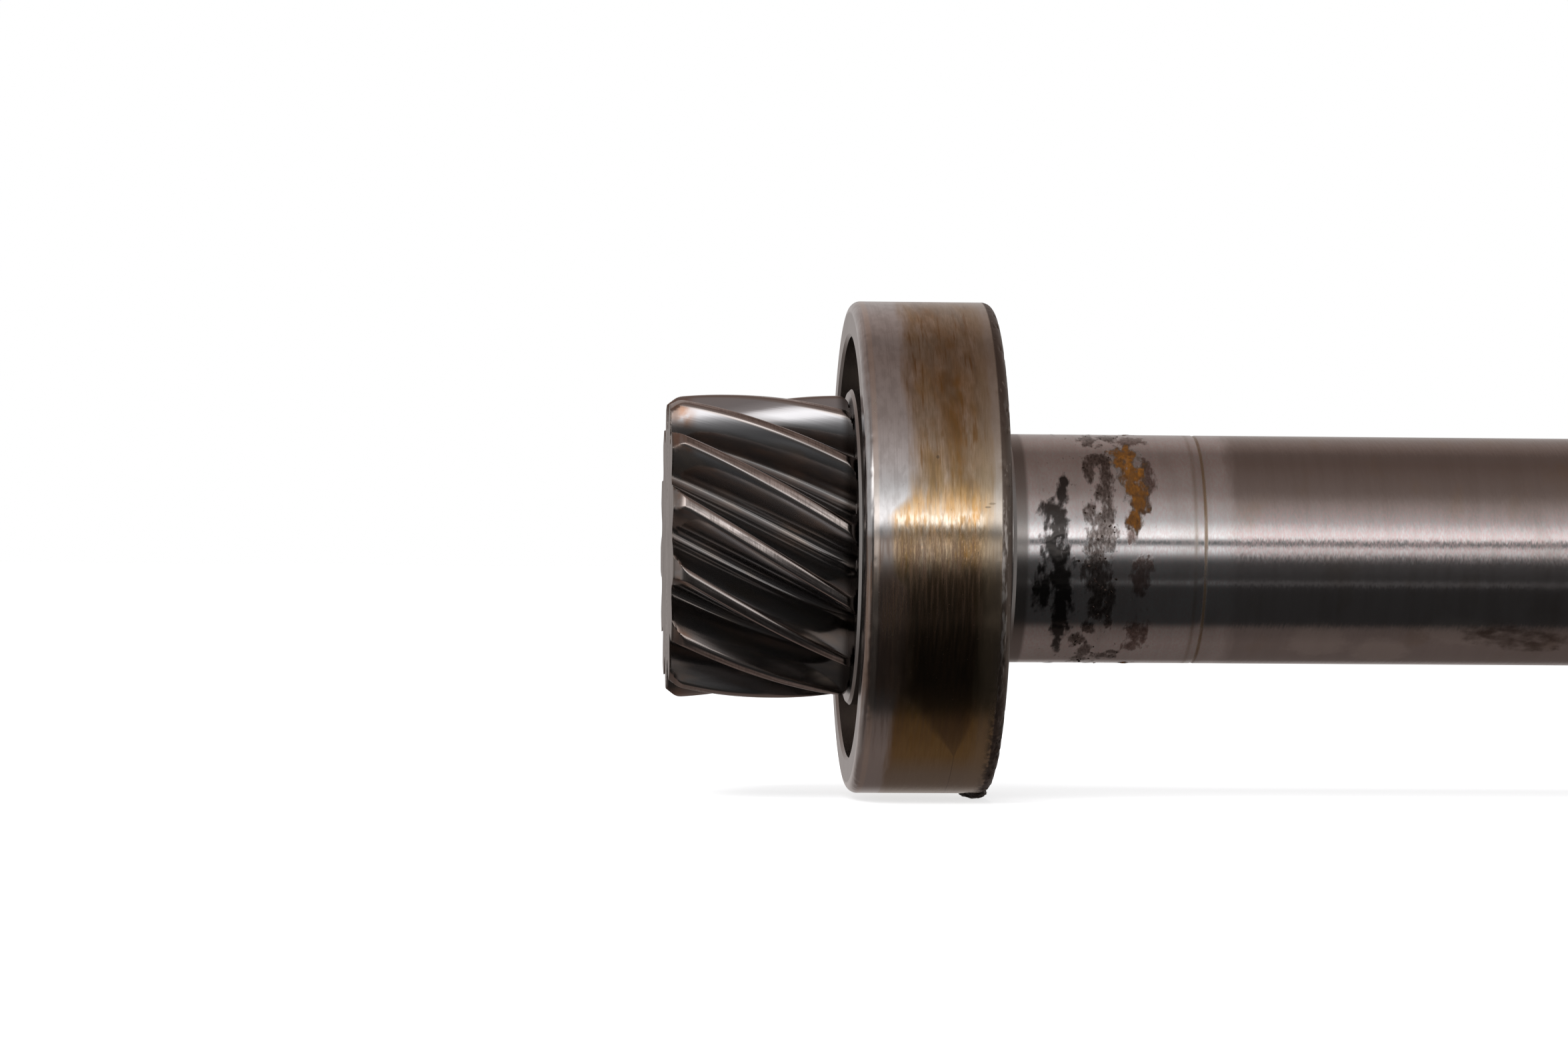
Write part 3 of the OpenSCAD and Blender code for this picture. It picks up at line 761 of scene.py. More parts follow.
def ground_shaft_steel():
    """Hardened steel, ground round the axis: a near mirror with fine rings, under varnish, grime and rust."""
    material, tree, shader, in_mm = new_material("ground_shaft_steel")
    x, height, radius = axis_places(tree, in_mm)

    ground_rings = grain(tree, in_mm, 0.16, 60, seed=1)
    pale_rings = grain(tree, in_mm, 0.7, 25, 0.45, 0.75, seed=2)
    satin = grain(tree, in_mm, 0.22, 0.5, 0.4, 0.6, seed=12)
    clouds = grain(tree, in_mm, 3.5, 9, 0.42, 0.66, seed=7)
    seat = band(tree, x, -FAR, SEAT_END + 1.6, 0.25)
    end_face = band(tree, radius, -FAR, JOURNAL_RADIUS - END_CHAMFER - 0.2, 0.1)
    turned_end = scaled(tree, end_face, band(tree, x, JOURNAL_END - 8, FAR, 0.1))

    grime = crust_mask(tree, in_mm, "grime", 0.8, 0.15)
    scale = crust_mask(tree, in_mm, "scale", 0.6, 0.1)
    rust = crust_mask(tree, in_mm, "rust", 0.8, 0.35)
    brown = crust_mask(tree, in_mm, "brown", 0.6, 0.1)
    crumbs = grain(tree, in_mm, 0.25, 0.5, 0.35, 0.65, detail=5, seed=4)
    rust_depth = add(tree, "ShaderNodeAttribute", attribute_name="rust").outputs["Fac"]
    rust_core = add(tree, "ShaderNodeMapRange", {"Value": rust_depth, "From Min": 0.3, "From Max": 0.75},
                    interpolation_type="SMOOTHSTEP")
    deep_orange = grain(tree, in_mm, 0.7, 1.2, 0.2, 0.5, detail=5, seed=6)
    orange_spots = grain(tree, in_mm, 0.9, 1.4, 0.5, 0.62, detail=6, seed=37)
    dark_spots = grain(tree, in_mm, 0.5, 0.9, 0.5, 0.66, detail=6, seed=36)
    near_crust = band(tree, x, 12.0, 23.8, 1.4)
    freckles = scaled(tree, grain(tree, in_mm, 0.5, 0.7, 0.62, 0.72, seed=5), near_crust)

    broken = grain(tree, in_mm, 0.8, 4, 0.2, 0.5, seed=8)
    wear = scaled(tree, band(tree, x, WEAR_LINE - 0.17, WEAR_LINE + 0.17, 0.1), broken)
    wear_faint = scaled(tree, band(tree, x, WEAR_LINE_FAINT - 0.15, WEAR_LINE_FAINT + 0.15, 0.25), broken)

    frayed = grain(tree, in_mm, 0.8, 3, detail=4, seed=14)
    film_start = add(tree, "ShaderNodeMath", {0: frayed, 1: -2.0, 2: x}, operation="MULTIPLY_ADD")
    varnish = scaled(tree, band(tree, film_start, VARNISH_START, FAR, 1.0), 0.85)
    # Painted shade: the varnished journal is painted darker on its top, above the highlight.
    dust = scaled(tree, varnish, band(tree, height, 4.3, FAR, 1.8))
    # Painted highlight: a pinkish grain only in the band where the journal mirrors the lamps.
    pink_highlight_sheen = scaled(tree, varnish, satin, band(tree, height, -1, 4.3, 1.5))
    # Painted shade: the varnished journal is painted darker on its underside.
    shaded_underside = scaled(tree, varnish, band(tree, height, -FAR, -8.3, 0.8))
    varnish_streaks = scaled(tree, varnish, grain(tree, in_mm, 1.2, 16, 0.35, 0.75, seed=9))
    brown_film = scaled(tree, band(tree, x, JOURNAL_FILM_START, FAR, 2),
                        grain(tree, in_mm, 3, 5, 0.52, 0.75, detail=5, seed=10))
    dusty_film = scaled(tree, band(tree, x, JOURNAL_DUST_START, FAR, 5),
                        grain(tree, in_mm, 9, 9, 0.45, 0.6, seed=13))
    low_stains = scaled(tree, stains(tree, in_mm, JOURNAL_RADIUS, LOW_STAINS),
                        grain(tree, in_mm, 1.6, 1.0, 0.25, 0.7, detail=5, seed=15))
    wiped = stains(tree, in_mm, JOURNAL_RADIUS, WIPED_PATCHES)

    paint(tree, shader, ("#C6C4C4", 0.1, 1.0), [
        ((pale_rings, 0.5), "#B6B4B5", 0.13, 1.0),
        ((satin, 0.55), "#C4B3B3", 0.18, 1.0),
        ((clouds, 0.35), "#A69F9B", 0.16, 1.0),
        ((seat, 0.85), "#7E7874", 0.24, 1.0),
        ((varnish,), "#B7B0AF", 0.13, 1.0),
        # painted shade on the top of the journal
        ((dust, 0.8), "#8C827D", 0.16, 1.0),
        ((varnish_streaks, 0.3), "#8A7F78", 0.16, 1.0),
        # painted shade on the underside of the journal
        ((shaded_underside, 0.7), "#9C9492", 0.18, 1.0),
        # painted pinkish sheen in the highlight band
        ((pink_highlight_sheen, 0.6), "#C2A6A5", 0.2, 1.0),
        ((brown_film, 0.35), "#9C8A76", 0.16, 1.0),
        ((dusty_film, 0.35), "#8A7F78", 0.24, 1.0),
        ((wiped, 0.4), "#C9C2BE", 0.16, 1.0),
        ((low_stains, 0.85), "#5D5048", 0.3, 1.0),
        ((wear_faint, 0.55), "#8A7762", 0.3, 1.0),
        ((wear, 0.85), "#7E6547", 0.35, 0.9),
        ((freckles, 0.5), "#5A4A40", 0.4, 1.0),
        ((brown, 0.75), "#6A5148", 0.24, 1.0),
        ((brown, crumbs, 0.5), "#4A3A33", 0.3, 1.0),
        ((rust, 0.9), "#52402F", 0.45, 0.8),
        ((rust, rust_core, deep_orange, 0.95), "#69400C", 0.8, 0.1),
        ((rust, rust_core, orange_spots, 0.6), "#85520F", 0.85, 0.0),
        ((rust, dark_spots, 0.6), "#432A16", 0.75, 0.3),
        ((rust, crumbs, 0.3), "#3C2718", 0.75, 0.4),
        ((scale, 0.85), "#6A5F5A", 0.18, 1.0),
        ((scale, crumbs, 0.75), "#463C38", 0.22, 1.0),
        ((grime, 0.97), "#3A3634", 0.18, 1.0),
        ((turned_end, 0.8), "#A5A09C", 0.3, 1.0),
    ])
    crust = strongest(tree, [scale, rust, brown])
    uneven = scaled(tree, grain(tree, in_mm, 0.25, 1.6, detail=2, seed=24), varnish)
    relief(tree, shader, [
        (ground_rings, 0.0005), (uneven, 0.035), (scaled(tree, crust, crumbs), 0.004), (crust, 0.003),
        (grime, 0.006)])
    return material


def cut_gear_steel():
    """Hobbed and hardened steel: bright near the teeth's tips, dark flanks under an oil film and painted
    shade, and duller worn lands.
    """
    material, tree, shader, in_mm = new_material("cut_gear_steel")
    x, height, radius = axis_places(tree, in_mm)
    untwist = add(tree, "ShaderNodeMath", {0: x, 1: -turn_per_mm}, operation="MULTIPLY")
    along_teeth = add(tree, "ShaderNodeVectorRotate", {"Vector": in_mm, "Angle": untwist},
                      rotation_type="X_AXIS")
    # Painted shade: flank faces that lean towards the bearing are painted darker.
    normal = add(tree, "ShaderNodeTexCoord").outputs["Normal"]
    leaning = add(tree, "ShaderNodeSeparateXYZ", {0: normal}).outputs["X"]
    shade_towards_ring = band(tree, leaning, 0.1, FAR, 0.1)

    land = band(tree, radius, tip_radius - 0.02, FAR, 0.02)
    # Worn tip edges, lighter just under the tips, which also serves as a painted highlight along them.
    land_edge = band(tree, radius, tip_radius - 0.32, FAR, 0.08)
    worn = grain(tree, along_teeth, 4, 0.3, 0.4, 0.6, seed=5)
    cross_ground = grain(tree, in_mm, 0.16, 1.5, 0.4, 0.7, seed=7)

    # The dark film on the flanks is partly oil and partly painted shade between the teeth.
    smear = grain(tree, along_teeth, 7, 1.2, seed=3)
    # Painted highlight: on the teeth at the top of the pinion the film is pushed down towards the roots, so
    # their flanks stay bright.
    lit_top = add(tree, "ShaderNodeMapRange", {
        "Value": height, "From Min": 9.5, "From Max": 13, "To Min": 0, "To Max": 1.5},
        interpolation_type="SMOOTHSTEP")
    film_top = add(tree, "ShaderNodeMath", {0: smear, 1: radius}, operation="ADD")
    film_top = add(tree, "ShaderNodeMath", {0: film_top, 1: lit_top}, operation="ADD")
    oil_film_and_shade = band(tree, film_top, -FAR, tip_radius - 0.1, 0.6)
    hob_lines = grain(tree, along_teeth, 9, 0.14, 0.4, 0.65, seed=8)
    old_oil = grain(tree, along_teeth, 4, 1.6, 0.45, 0.7, seed=10)

    free_end = band(tree, x, -FAR, PINION_START + 0.12, 0.1)
    end_bevel = band(tree, x, -FAR, PINION_START + 0.9, 0.4)
    tan_film = scaled(tree, band(tree, x, -FAR, PINION_START + 2.2, 0.9),
                      grain(tree, in_mm, 2, 2, 0.3, 0.6, seed=4))
    # Painted shade: the teeth are painted darker where they meet the bearing.
    shade_at_ring_end = band(tree, x, -RING_HALF - 1.0, FAR, 0.5)
    turned = add(tree, "ShaderNodeMath", {0: radius, 1: 2.6}, operation="MULTIPLY")
    turning_marks = add(tree, "ShaderNodeTexNoise", {"W": turned, "Scale": 1.0, "Detail": 3.0},
                        noise_dimensions="1D")
    dark_marks = add(tree, "ShaderNodeMapRange", {"Value": turning_marks, "From Min": 0.45, "From Max": 0.62},
                     interpolation_type="SMOOTHSTEP")
    end_blotches = grain(tree, in_mm, 2, 2.6, 0.4, 0.65, seed=11)

    paint(tree, shader, ("#BDBBBD", 0.1, 1.0), [
        # painted shade on the flanks that face the bearing
        ((shade_towards_ring, 0.6), "#8E8B8A", 0.12, 1.0),
        ((tan_film,), "#A98875", 0.14, 1.0),
        # oil film with painted shade between the teeth
        ((oil_film_and_shade, 0.95), "#6D6A69", 0.14, 0.95),
        ((oil_film_and_shade, hob_lines, 0.3), "#8B8481", 0.14, 1.0),
        ((oil_film_and_shade, old_oil, 0.6), "#9A8C82", 0.2, 1.0),
        # worn tip edges with a painted highlight
        ((land_edge, 0.8), "#B0A6A1", 0.15, 1.0),
        ((land,), "#958B86", 0.2, 1.0),
        ((land, worn, 0.8), "#C6BBB7", 0.16, 1.0),
        ((land, cross_ground, 0.35), "#5C534E", 0.3, 1.0),
        # painted shade next to the bearing
        ((shade_at_ring_end, 0.85), "#47403C", 0.3, 1.0),
        ((end_bevel, 0.5), "#776D68", 0.3, 1.0),
        ((free_end,), "#8A807A", 0.3, 1.0),
        ((free_end, end_blotches, 0.35), "#6E645E", 0.4, 1.0),
        ((free_end, dark_marks, 0.5), "#5F5650", 0.35, 1.0),
    ])
    relief(tree, shader, [
        (hob_lines, 0.0005), (grain(tree, along_teeth, 5, 0.8, detail=1, seed=9), 0.003),
        (scaled(tree, turning_marks, free_end), 0.05)])
    return material


BURNT_POINT, BURNT_SHOULDER = -21.5, -14.5  # heights between which the burnt stain widens from its point


def burnt_mask(tree, in_mm, x, height):
    """The burnt stain on the outer ring: as wide as the oil band at the front, tapering to a point below."""
    half = add(tree, "ShaderNodeMapRange", {
        "Value": height, "From Min": BURNT_POINT, "From Max": BURNT_SHOULDER, "To Min": 0.05, "To Max": 3.9})
    middle = add(tree, "ShaderNodeMapRange", {
        "Value": height, "From Min": BURNT_POINT, "From Max": BURNT_SHOULDER, "To Min": 2.6, "To Max": 0.95})
    off = add(tree, "ShaderNodeMath", {0: x, 1: middle}, operation="SUBTRACT")
    off = add(tree, "ShaderNodeMath", {0: off}, operation="ABSOLUTE")
    off = add(tree, "ShaderNodeMath", {0: off, 1: half}, operation="DIVIDE")
    edge = grain(tree, in_mm, 1.2, 4, detail=4, seed=21)
    off = add(tree, "ShaderNodeMath", {0: edge, 1: 0.8, 2: off}, operation="MULTIPLY_ADD")
    across = add(tree, "ShaderNodeMapRange", {"Value": off, "From Min": 1.75, "From Max": 1.0},
                 interpolation_type="SMOOTHSTEP")
    fading = add(tree, "ShaderNodeMapRange", {
        "Value": height, "From Min": -21, "From Max": -15, "To Min": 0.45, "To Max": 1.0})
    drips = grain(tree, in_mm, 0.35, 3, detail=4, seed=22)
    top = add(tree, "ShaderNodeMath", {0: drips, 1: 4.0, 2: height}, operation="MULTIPLY_ADD")
    below = add(tree, "ShaderNodeMapRange", {"Value": top, "From Min": 1.2, "From Max": -1.4},
                interpolation_type="SMOOTHSTEP")
    y = add(tree, "ShaderNodeSeparateXYZ", {0: in_mm}).outputs["Y"]
    front = add(tree, "ShaderNodeMapRange", {"Value": y, "From Min": 1, "From Max": -3})
    return scaled(tree, across, fading, below, front)


def varnished_ring_steel():
    """Ground bearing steel under baked-on oil: grey edges, streaked golden brown between, one burnt stain."""
    material, tree, shader, in_mm = new_material("varnished_ring_steel")
    x, height, radius = axis_places(tree, in_mm)
    outside = band(tree, radius, RING_RADIUS - 1.2, FAR, 0.1)
    outer_edge = band(tree, radius, 24.6, FAR, 0.3)
    side = band(tree, radius, -FAR, 24.9, 0.2)

    # The varnish's border wanders along the axis, and leans to the right towards the top.
    wander = grain(tree, in_mm, 9, 9, detail=1.0, seed=1)
    slant = add(tree, "ShaderNodeMapRange", {
        "Value": height, "From Min": 6, "From Max": 26, "To Min": -1.1, "To Max": 1.6})
    shift = add(tree, "ShaderNodeMath", {0: wander, 1: 2.2, 2: slant}, operation="MULTIPLY_ADD")
    aside = add(tree, "ShaderNodeCombineXYZ", {"X": shift})
    wavy = add(tree, "ShaderNodeVectorMath", {0: in_mm, 1: aside}, operation="ADD")
    wavy_x = add(tree, "ShaderNodeSeparateXYZ", {0: wavy}).outputs["X"]
    frayed = grain(tree, in_mm, 0.6, 7, seed=11)
    edge = add(tree, "ShaderNodeMath", {0: frayed, 1: 1.6, 2: x}, operation="MULTIPLY_ADD")
    drifting = add(tree, "ShaderNodeMath", {0: wander, 1: 1.4, 2: edge}, operation="MULTIPLY_ADD")
    varnish_reach = add(tree, "ShaderNodeMath", {0: band(tree, height, -3.5, 4.4, 1.3), 1: 1.8, 2: drifting},
                        operation="MULTIPLY_ADD")
    varnished = scaled(tree, band(tree, varnish_reach, -1.2, FAR, 0.8), band(tree, drifting, -FAR, 6.7, 0.7),
                       outside)

    # Streaks and films in the varnish, painted fainter at the front, where the ring mirrors the lamps, so
    # that the painted highlight there stays bright
    front = band(tree, height, 2.0, 4.4, 2.4)
    fainter_in_highlight = add(tree, "ShaderNodeMath", {0: front, 1: -0.7, 2: 1.0}, operation="MULTIPLY_ADD")
    light_varnish = grain(tree, wavy, 2.6, 6, 0.3, 0.65, detail=2, seed=12)
    streak = grain(tree, wavy, 1.3, 6, 0.38, 0.72, detail=2, seed=2)
    main_streak = scaled(tree, band(tree, wavy_x, 1.6, 4.4, 0.9),
                         grain(tree, wavy, 1.1, 3.5, 0.25, 0.6, detail=4, seed=14))
    brown_streak = grain(tree, wavy, 1.2, 6, 0.42, 0.75, detail=2, seed=3)
    blotches = grain(tree, in_mm, 0.9, 1.6, 0.4, 0.7, detail=4, seed=25)
    frayed_film = grain(tree, in_mm, 0.3, 3.0, 0.35, 0.7, detail=2, seed=23)
    film_fibres = grain(tree, in_mm, 0.18, 3.0, 0.42, 0.66, detail=4, seed=34)
    fibres = scaled(tree, grain(tree, in_mm, 0.14, 1.6, 0.4, 0.68, detail=4, seed=27), fainter_in_highlight)
    strokes = scaled(tree, grain(tree, in_mm, 0.4, 5.0, 0.56, 0.68, detail=3, seed=30), fainter_in_highlight)
    clean_patch = grain(tree, in_mm, 3, 6, 0.42, 0.6, seed=19)

    # Painted highlight at the front, where the ring mirrors the lamps: golden and near-white streaks and
    # glints in the varnish, with dark fibres below
    golden_highlight = scaled(tree, band(tree, height, 1.8, 6.2, 1.6),
                          grain(tree, in_mm, 0.5, 4, 0.3, 0.6, detail=3, seed=33))
    brightest_highlight = scaled(tree, band(tree, height, 1.9, 3.6, 0.6),
                       grain(tree, in_mm, 0.4, 1.6, 0.42, 0.6, detail=5, seed=38))
    # Golden drip streaks, painted only in the highlight band.
    drips = scaled(tree, grain(tree, in_mm, 0.3, 2.2, 0.42, 0.6, detail=4, seed=15), front)
    white_highlight_streaks = scaled(tree, grain(tree, in_mm, 0.5, 2.6, 0.42, 0.62, detail=4, seed=26), front)
    dark_fibres = scaled(tree, grain(tree, in_mm, 0.14, 0.9, 0.42, 0.62, detail=4, seed=31),
                         band(tree, height, -3.5, 1.2, 0.8))
    # Painted glints in the lower band of the highlight.
    lower_highlight_glints = scaled(tree, grain(tree, in_mm, 0.16, 0.3, 0.5, 0.7, seed=28),
                     band(tree, height, -3.5, 2.2, 1.0))

    # Below the front: a brown film, hanging streaks, the burnt stain, and golden varnish again at the bottom
    low = add(tree, "ShaderNodeMapRange", {"Value": height, "From Min": -1.5, "From Max": -3.5})
    lowest = add(tree, "ShaderNodeMapRange", {"Value": height, "From Min": -14, "From Max": -17})
    lowest_film = add(tree, "ShaderNodeMapRange", {"Value": height, "From Min": -21.5, "From Max": -23.5})
    film = scaled(tree, band(tree, edge, -4.6, 7.4, 1.0), outside, low, 0.9)
    left_film = scaled(tree, band(tree, edge, -FAR, -4.0, 1.0), outside, low)
    low_varnish = scaled(tree, band(tree, edge, -3.3, 7.2, 0.8), outside, lowest)
    bare_left = scaled(tree, band(tree, edge, -FAR, -3.3, 0.5), outside, lowest)
    hanging = scaled(tree, grain(tree, in_mm, 0.3, 5, 0.42, 0.63, detail=5, seed=36),
                     band(tree, height, -20, 0.5, 3.5), outside)
    hanging_top = scaled(tree, hanging, band(tree, height, -9.5, FAR, 5))
    burnt = scaled(tree, burnt_mask(tree, in_mm, x, height), outside)
    core_top = add(tree, "ShaderNodeMapRange", {"Value": height, "From Min": -4.5, "From Max": -8})
    core_foot = add(tree, "ShaderNodeMapRange", {"Value": height, "From Min": -15.5, "From Max": -13.5})
    core = scaled(tree, burnt, core_top, core_foot)

    # Dirt and wear, with painted shade below the highlight and a painted highlight on the left edge
    smudge = grain(tree, in_mm, 2.0, 3.0, 0.45, 0.7, seed=16)
    scratches = grain(tree, in_mm, 0.1, 14, 0.5, 0.72, seed=17)
    mottled = scaled(tree, grain(tree, in_mm, 0.7, 1.6, 0.42, 0.62, detail=5, seed=35), outside)
    # Painted shade: the outside is painted darker below the bright upper highlight band.
    shade_below_highlight = add(tree, "ShaderNodeMapRange", {"Value": height, "From Min": 1.9, "From Max": 1.0})
    specks = stains(tree, in_mm, RING_RADIUS, RING_SPECKS)
    dirt = scaled(tree, grain(tree, in_mm, 0.25, 0.25, 0.68, 0.74, seed=18), outside)
    right_film = scaled(tree, band(tree, edge, 5.2, FAR, 0.8), outside)
    # Painted highlight along the outer ring's left rounded edge.
    left_edge_highlight = scaled(tree, band(tree, x, -6.75, -6.2, 0.12), outside)
    right_edge = scaled(tree, band(tree, x, RING_HALF - 1.15, FAR, 0.1), outer_edge)
    chipped = grain(tree, in_mm, 0.4, 0.9, 0.6, 0.75, seed=7)
    worn_edge = scaled(tree, band(tree, x, RING_HALF - 1.2, RING_HALF - 0.6, 0.12),
                       grain(tree, in_mm, 0.25, 1.8, 0.45, 0.62, detail=6, seed=29),
                       band(tree, height, -16, 3, 4), outside)
    crumbled = scaled(tree, band(tree, x, RING_HALF - 1.6, FAR, 0.5), band(tree, height, -FAR, -15, 4),
                      grain(tree, in_mm, 0.5, 0.7, 0.35, 0.6, detail=5, seed=32), outer_edge)

    paint(tree, shader, ("#CDCACA", 0.11, 1.0), [
        ((smudge, 0.3), "#B2ADAC", 0.2, 1.0),
        ((scratches, 0.35), "#A9A4A2", 0.2, 1.0),
        ((mottled, 0.4), "#A8A3A1", 0.17, 1.0),
        # painted shade below the highlight
        ((shade_below_highlight, outside, 0.9), "#8B807A", 0.16, 1.0),
        ((left_film, 0.6), "#957D70", 0.18, 1.0),
        ((film,), "#9A8070", 0.18, 1.0),
        ((film, film_fibres, 0.5), "#AC988A", 0.18, 1.0),
        ((film, blotches, 0.4), "#6E5D52", 0.18, 1.0),
        ((bare_left,), "#C2BBB8", 0.14, 1.0),
        ((varnished, 0.65), "#C4AC94", 0.12, 1.0),
        # the streaks are painted fainter in the highlight band
        ((varnished, light_varnish, fainter_in_highlight, 0.6), "#BAA082", 0.13, 1.0),
        ((varnished, streak, fainter_in_highlight, 0.7), "#A8844E", 0.15, 1.0),
        ((varnished, main_streak, fainter_in_highlight, 0.85), "#966A2A", 0.15, 1.0),
        ((varnished, brown_streak, fainter_in_highlight, 0.7), "#7A654F", 0.16, 1.0),
        ((varnished, blotches, fainter_in_highlight, 0.4), "#8C7350", 0.16, 1.0),
        ((varnished, frayed_film, fainter_in_highlight, 0.25), "#8D785C", 0.16, 1.0),
        ((varnished, clean_patch, fainter_in_highlight, 0.35), "#B5ADA0", 0.14, 1.0),
        # painted highlight: golden and near-white streaks where the ring mirrors the lamps
        ((varnished, golden_highlight, 0.6), "#CDA064", 0.13, 1.0),
        ((varnished, drips, 0.75), "#CC9858", 0.12, 1.0),
        ((varnished, white_highlight_streaks, 0.6), "#E6D5BC", 0.1, 1.0),
        ((varnished, brightest_highlight, 0.75), "#F0E3D2", 0.09, 1.0),
        ((varnished, fibres, 0.35), "#7D6A4A", 0.16, 1.0),
        ((varnished, strokes, 0.6), "#86602A", 0.15, 1.0),
        # painted glints in the lower highlight band
        ((varnished, lower_highlight_glints, 0.5), "#CBAA8C", 0.14, 1.0),
        ((varnished, dark_fibres, 0.55), "#75614F", 0.16, 1.0),
        ((low_varnish, 0.8), "#A1834F", 0.18, 1.0),
        ((low_varnish, film_fibres, 0.35), "#8C6C38", 0.18, 1.0),
        ((low_varnish, lowest_film, 0.6), "#A39A8F", 0.18, 1.0),
        ((hanging, 0.4), "#806655", 0.34, 0.97),
        ((burnt, 0.88), "#5C4C3C", 0.2, 1.0),
        ((core, 0.85), "#473E35", 0.22, 1.0),
        ((burnt, frayed_film, 0.5), "#6F5844", 0.2, 1.0),
        ((hanging_top, 0.55), "#806655", 0.34, 0.97),
        ((dirt, 0.6), "#5A4A3E", 0.4, 0.8),
        ((specks, 0.65), "#3E2F26", 0.5, 0.7),
        ((side, 0.7), "#8F8883", 0.3, 1.0),
        ((right_film, 0.55), "#A8977F", 0.16, 1.0),
        # painted highlight on the left rounded edge
        ((left_edge_highlight, 0.5), "#DDCDC0", 0.2, 1.0),
        ((right_edge, 0.95), "#5E534C", 0.45, 1.0),
        ((right_edge, chipped, 0.6), "#A59C94", 0.35, 1.0),
        ((worn_edge, 0.65), "#D6CDC7", 0.3, 1.0),
        ((crumbled, 0.85), "#3B322E", 0.45, 0.9),
    ])
    uneven = scaled(tree, grain(tree, in_mm, 0.3, 2.2, detail=2, seed=24), varnished)
    relief(tree, shader, [(grain(tree, in_mm, 0.12, 60, seed=5), 0.0008), (uneven, 0.025)])
    return material


def oily_steel(name, colour, roughness, oil_colour, across):
    """Bearing parts made of steel, bright where they run and darker where oil and dust have settled."""
    material, tree, shader, in_mm = new_material(name)
    oil = grain(tree, in_mm, across, across, 0.4, 0.7, seed=2)
    dust = grain(tree, in_mm, across / 4, across / 4, 0.5, 0.7, seed=3)
    paint(tree, shader, (colour, roughness, 1.0), [
        ((oil, 0.7), oil_colour, roughness + 0.12, 1.0),
        ((dust, 0.4), oil_colour, roughness + 0.25, 1.0),
    ])
    relief(tree, shader, [(grain(tree, in_mm, 0.3, 0.3, seed=4), 0.002 + 0.01 * roughness)])
    return material


def iron_scale():
    """Flakes of iron oxide, dark with a slight shine and lighter brown where they are broken."""
    material, tree, shader, in_mm = new_material("iron_scale")
    dark = grain(tree, in_mm, 0.4, 0.4, 0.4, 0.65, seed=1)
    broken = grain(tree, in_mm, 1.2, 1.2, 0.6, 0.75, seed=2)
    paint(tree, shader, ("#5C504A", 0.25, 1.0), [
        ((dark,), "#443934", 0.32, 1.0),
        ((broken,), "#5A473B", 0.4, 0.95),
    ])
    relief(tree, shader, [(grain(tree, in_mm, 0.12, 0.12, seed=3), 0.01)])
    return material


def hardened_grime():
    """Oil and dust baked to a dark lump with a slight shine."""
    material, tree, shader, in_mm = new_material("hardened_grime")
    dusty = grain(tree, in_mm, 0.3, 0.3, 0.4, 0.7, seed=1)
    paint(tree, shader, ("#2B2422", 0.5, 0.0), [((dusty,), "#4A3F39", 0.75, 0.0)])
    relief(tree, shader, [(grain(tree, in_mm, 0.15, 0.15, seed=3), 0.03)])
    return material


# The pieces on the frame


def smooth_skin_nodes():
    """Joins a CAD node's loose triangles and shades it smooth, except along its edges."""
    tree, sizes = node_group("smooth_skin", [("Edge Angle", "NodeSocketFloat")])
    joined = add(tree, "GeometryNodeMergeByDistance", {"Geometry": sizes["Geometry"], "Distance": 0.001 * MM})
    smooth = add(tree, "GeometryNodeSetShadeSmooth", {"Geometry": joined, "Shade Smooth": True},
                 domain="FACE")
    angle = add(tree, "GeometryNodeInputMeshEdgeAngle")
    sharp = add(tree, "FunctionNodeCompare", {0: angle.outputs[0], 1: sizes["Edge Angle"]},
                data_type="FLOAT", operation="GREATER_THAN")
    edges = add(tree, "GeometryNodeSetShadeSmooth", {
        "Geometry": smooth, "Selection": sharp, "Shade Smooth": False}, domain="EDGE")
    add(tree, "NodeGroupOutput", {0: edges})
    return tree


shaft_material, gear_material, ring_material = ground_shaft_steel(), cut_gear_steel(), varnished_ring_steel()

pinion = pinion_teeth(gear_material)
journal = shaft_body(shaft_material)
flakes = scale_flakes(journal, iron_scale())
outer_ring = bearing_outer_ring(ring_material)
inner_ring = bearing_inner_ring(ring_material)
drip = grime_drip(hardened_grime())

for piece in (pinion, journal):
    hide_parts("pinion_shaft")
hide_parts("bearing_outer_ring")
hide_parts("bearing_inner_ring")
for piece, body, slot in (
        (pinion, "shaft", "shaft_steel"), (journal, "shaft", "shaft_steel"), (flakes, "shaft", "shaft_steel"),
        (inner_ring, "shaft", "ring_steel"), (outer_ring, "outer_ring", "ring_steel"),
        (drip, "outer_ring", "ring_steel")):
    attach(piece, body)

smooth_skin = smooth_skin_nodes()
edge_angle = next(s for s in smooth_skin.interface.items_tree if s.name == "Edge Angle").identifier
cad_materials = {
    "cage": oily_steel("pressed_cage_steel", "#A89F96", 0.3, "#5F5347", 2.5),
    "cage_rivet": oily_steel("headed_rivet_steel", "#B3ABA2", 0.28, "#66594D", 1.5),
    "ball": oily_steel("lapped_ball_steel", "#D5D3D3", 0.08, "#9A8F84", 4.0),
}
for name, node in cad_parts.items():
    kind = "cage_rivet" if name.startswith("cage_rivet") else name.split("_")[0]
    if kind not in cad_materials:
        continue
    node.data.materials.clear()
    node.data.materials.append(cad_materials[kind])
    modifier = node.modifiers.new("smooth_skin", "NODES")
    modifier.node_group = smooth_skin
    modifier[edge_angle] = CAD_SHARP_ANGLE


# The studio. Its places and sizes are in metres.

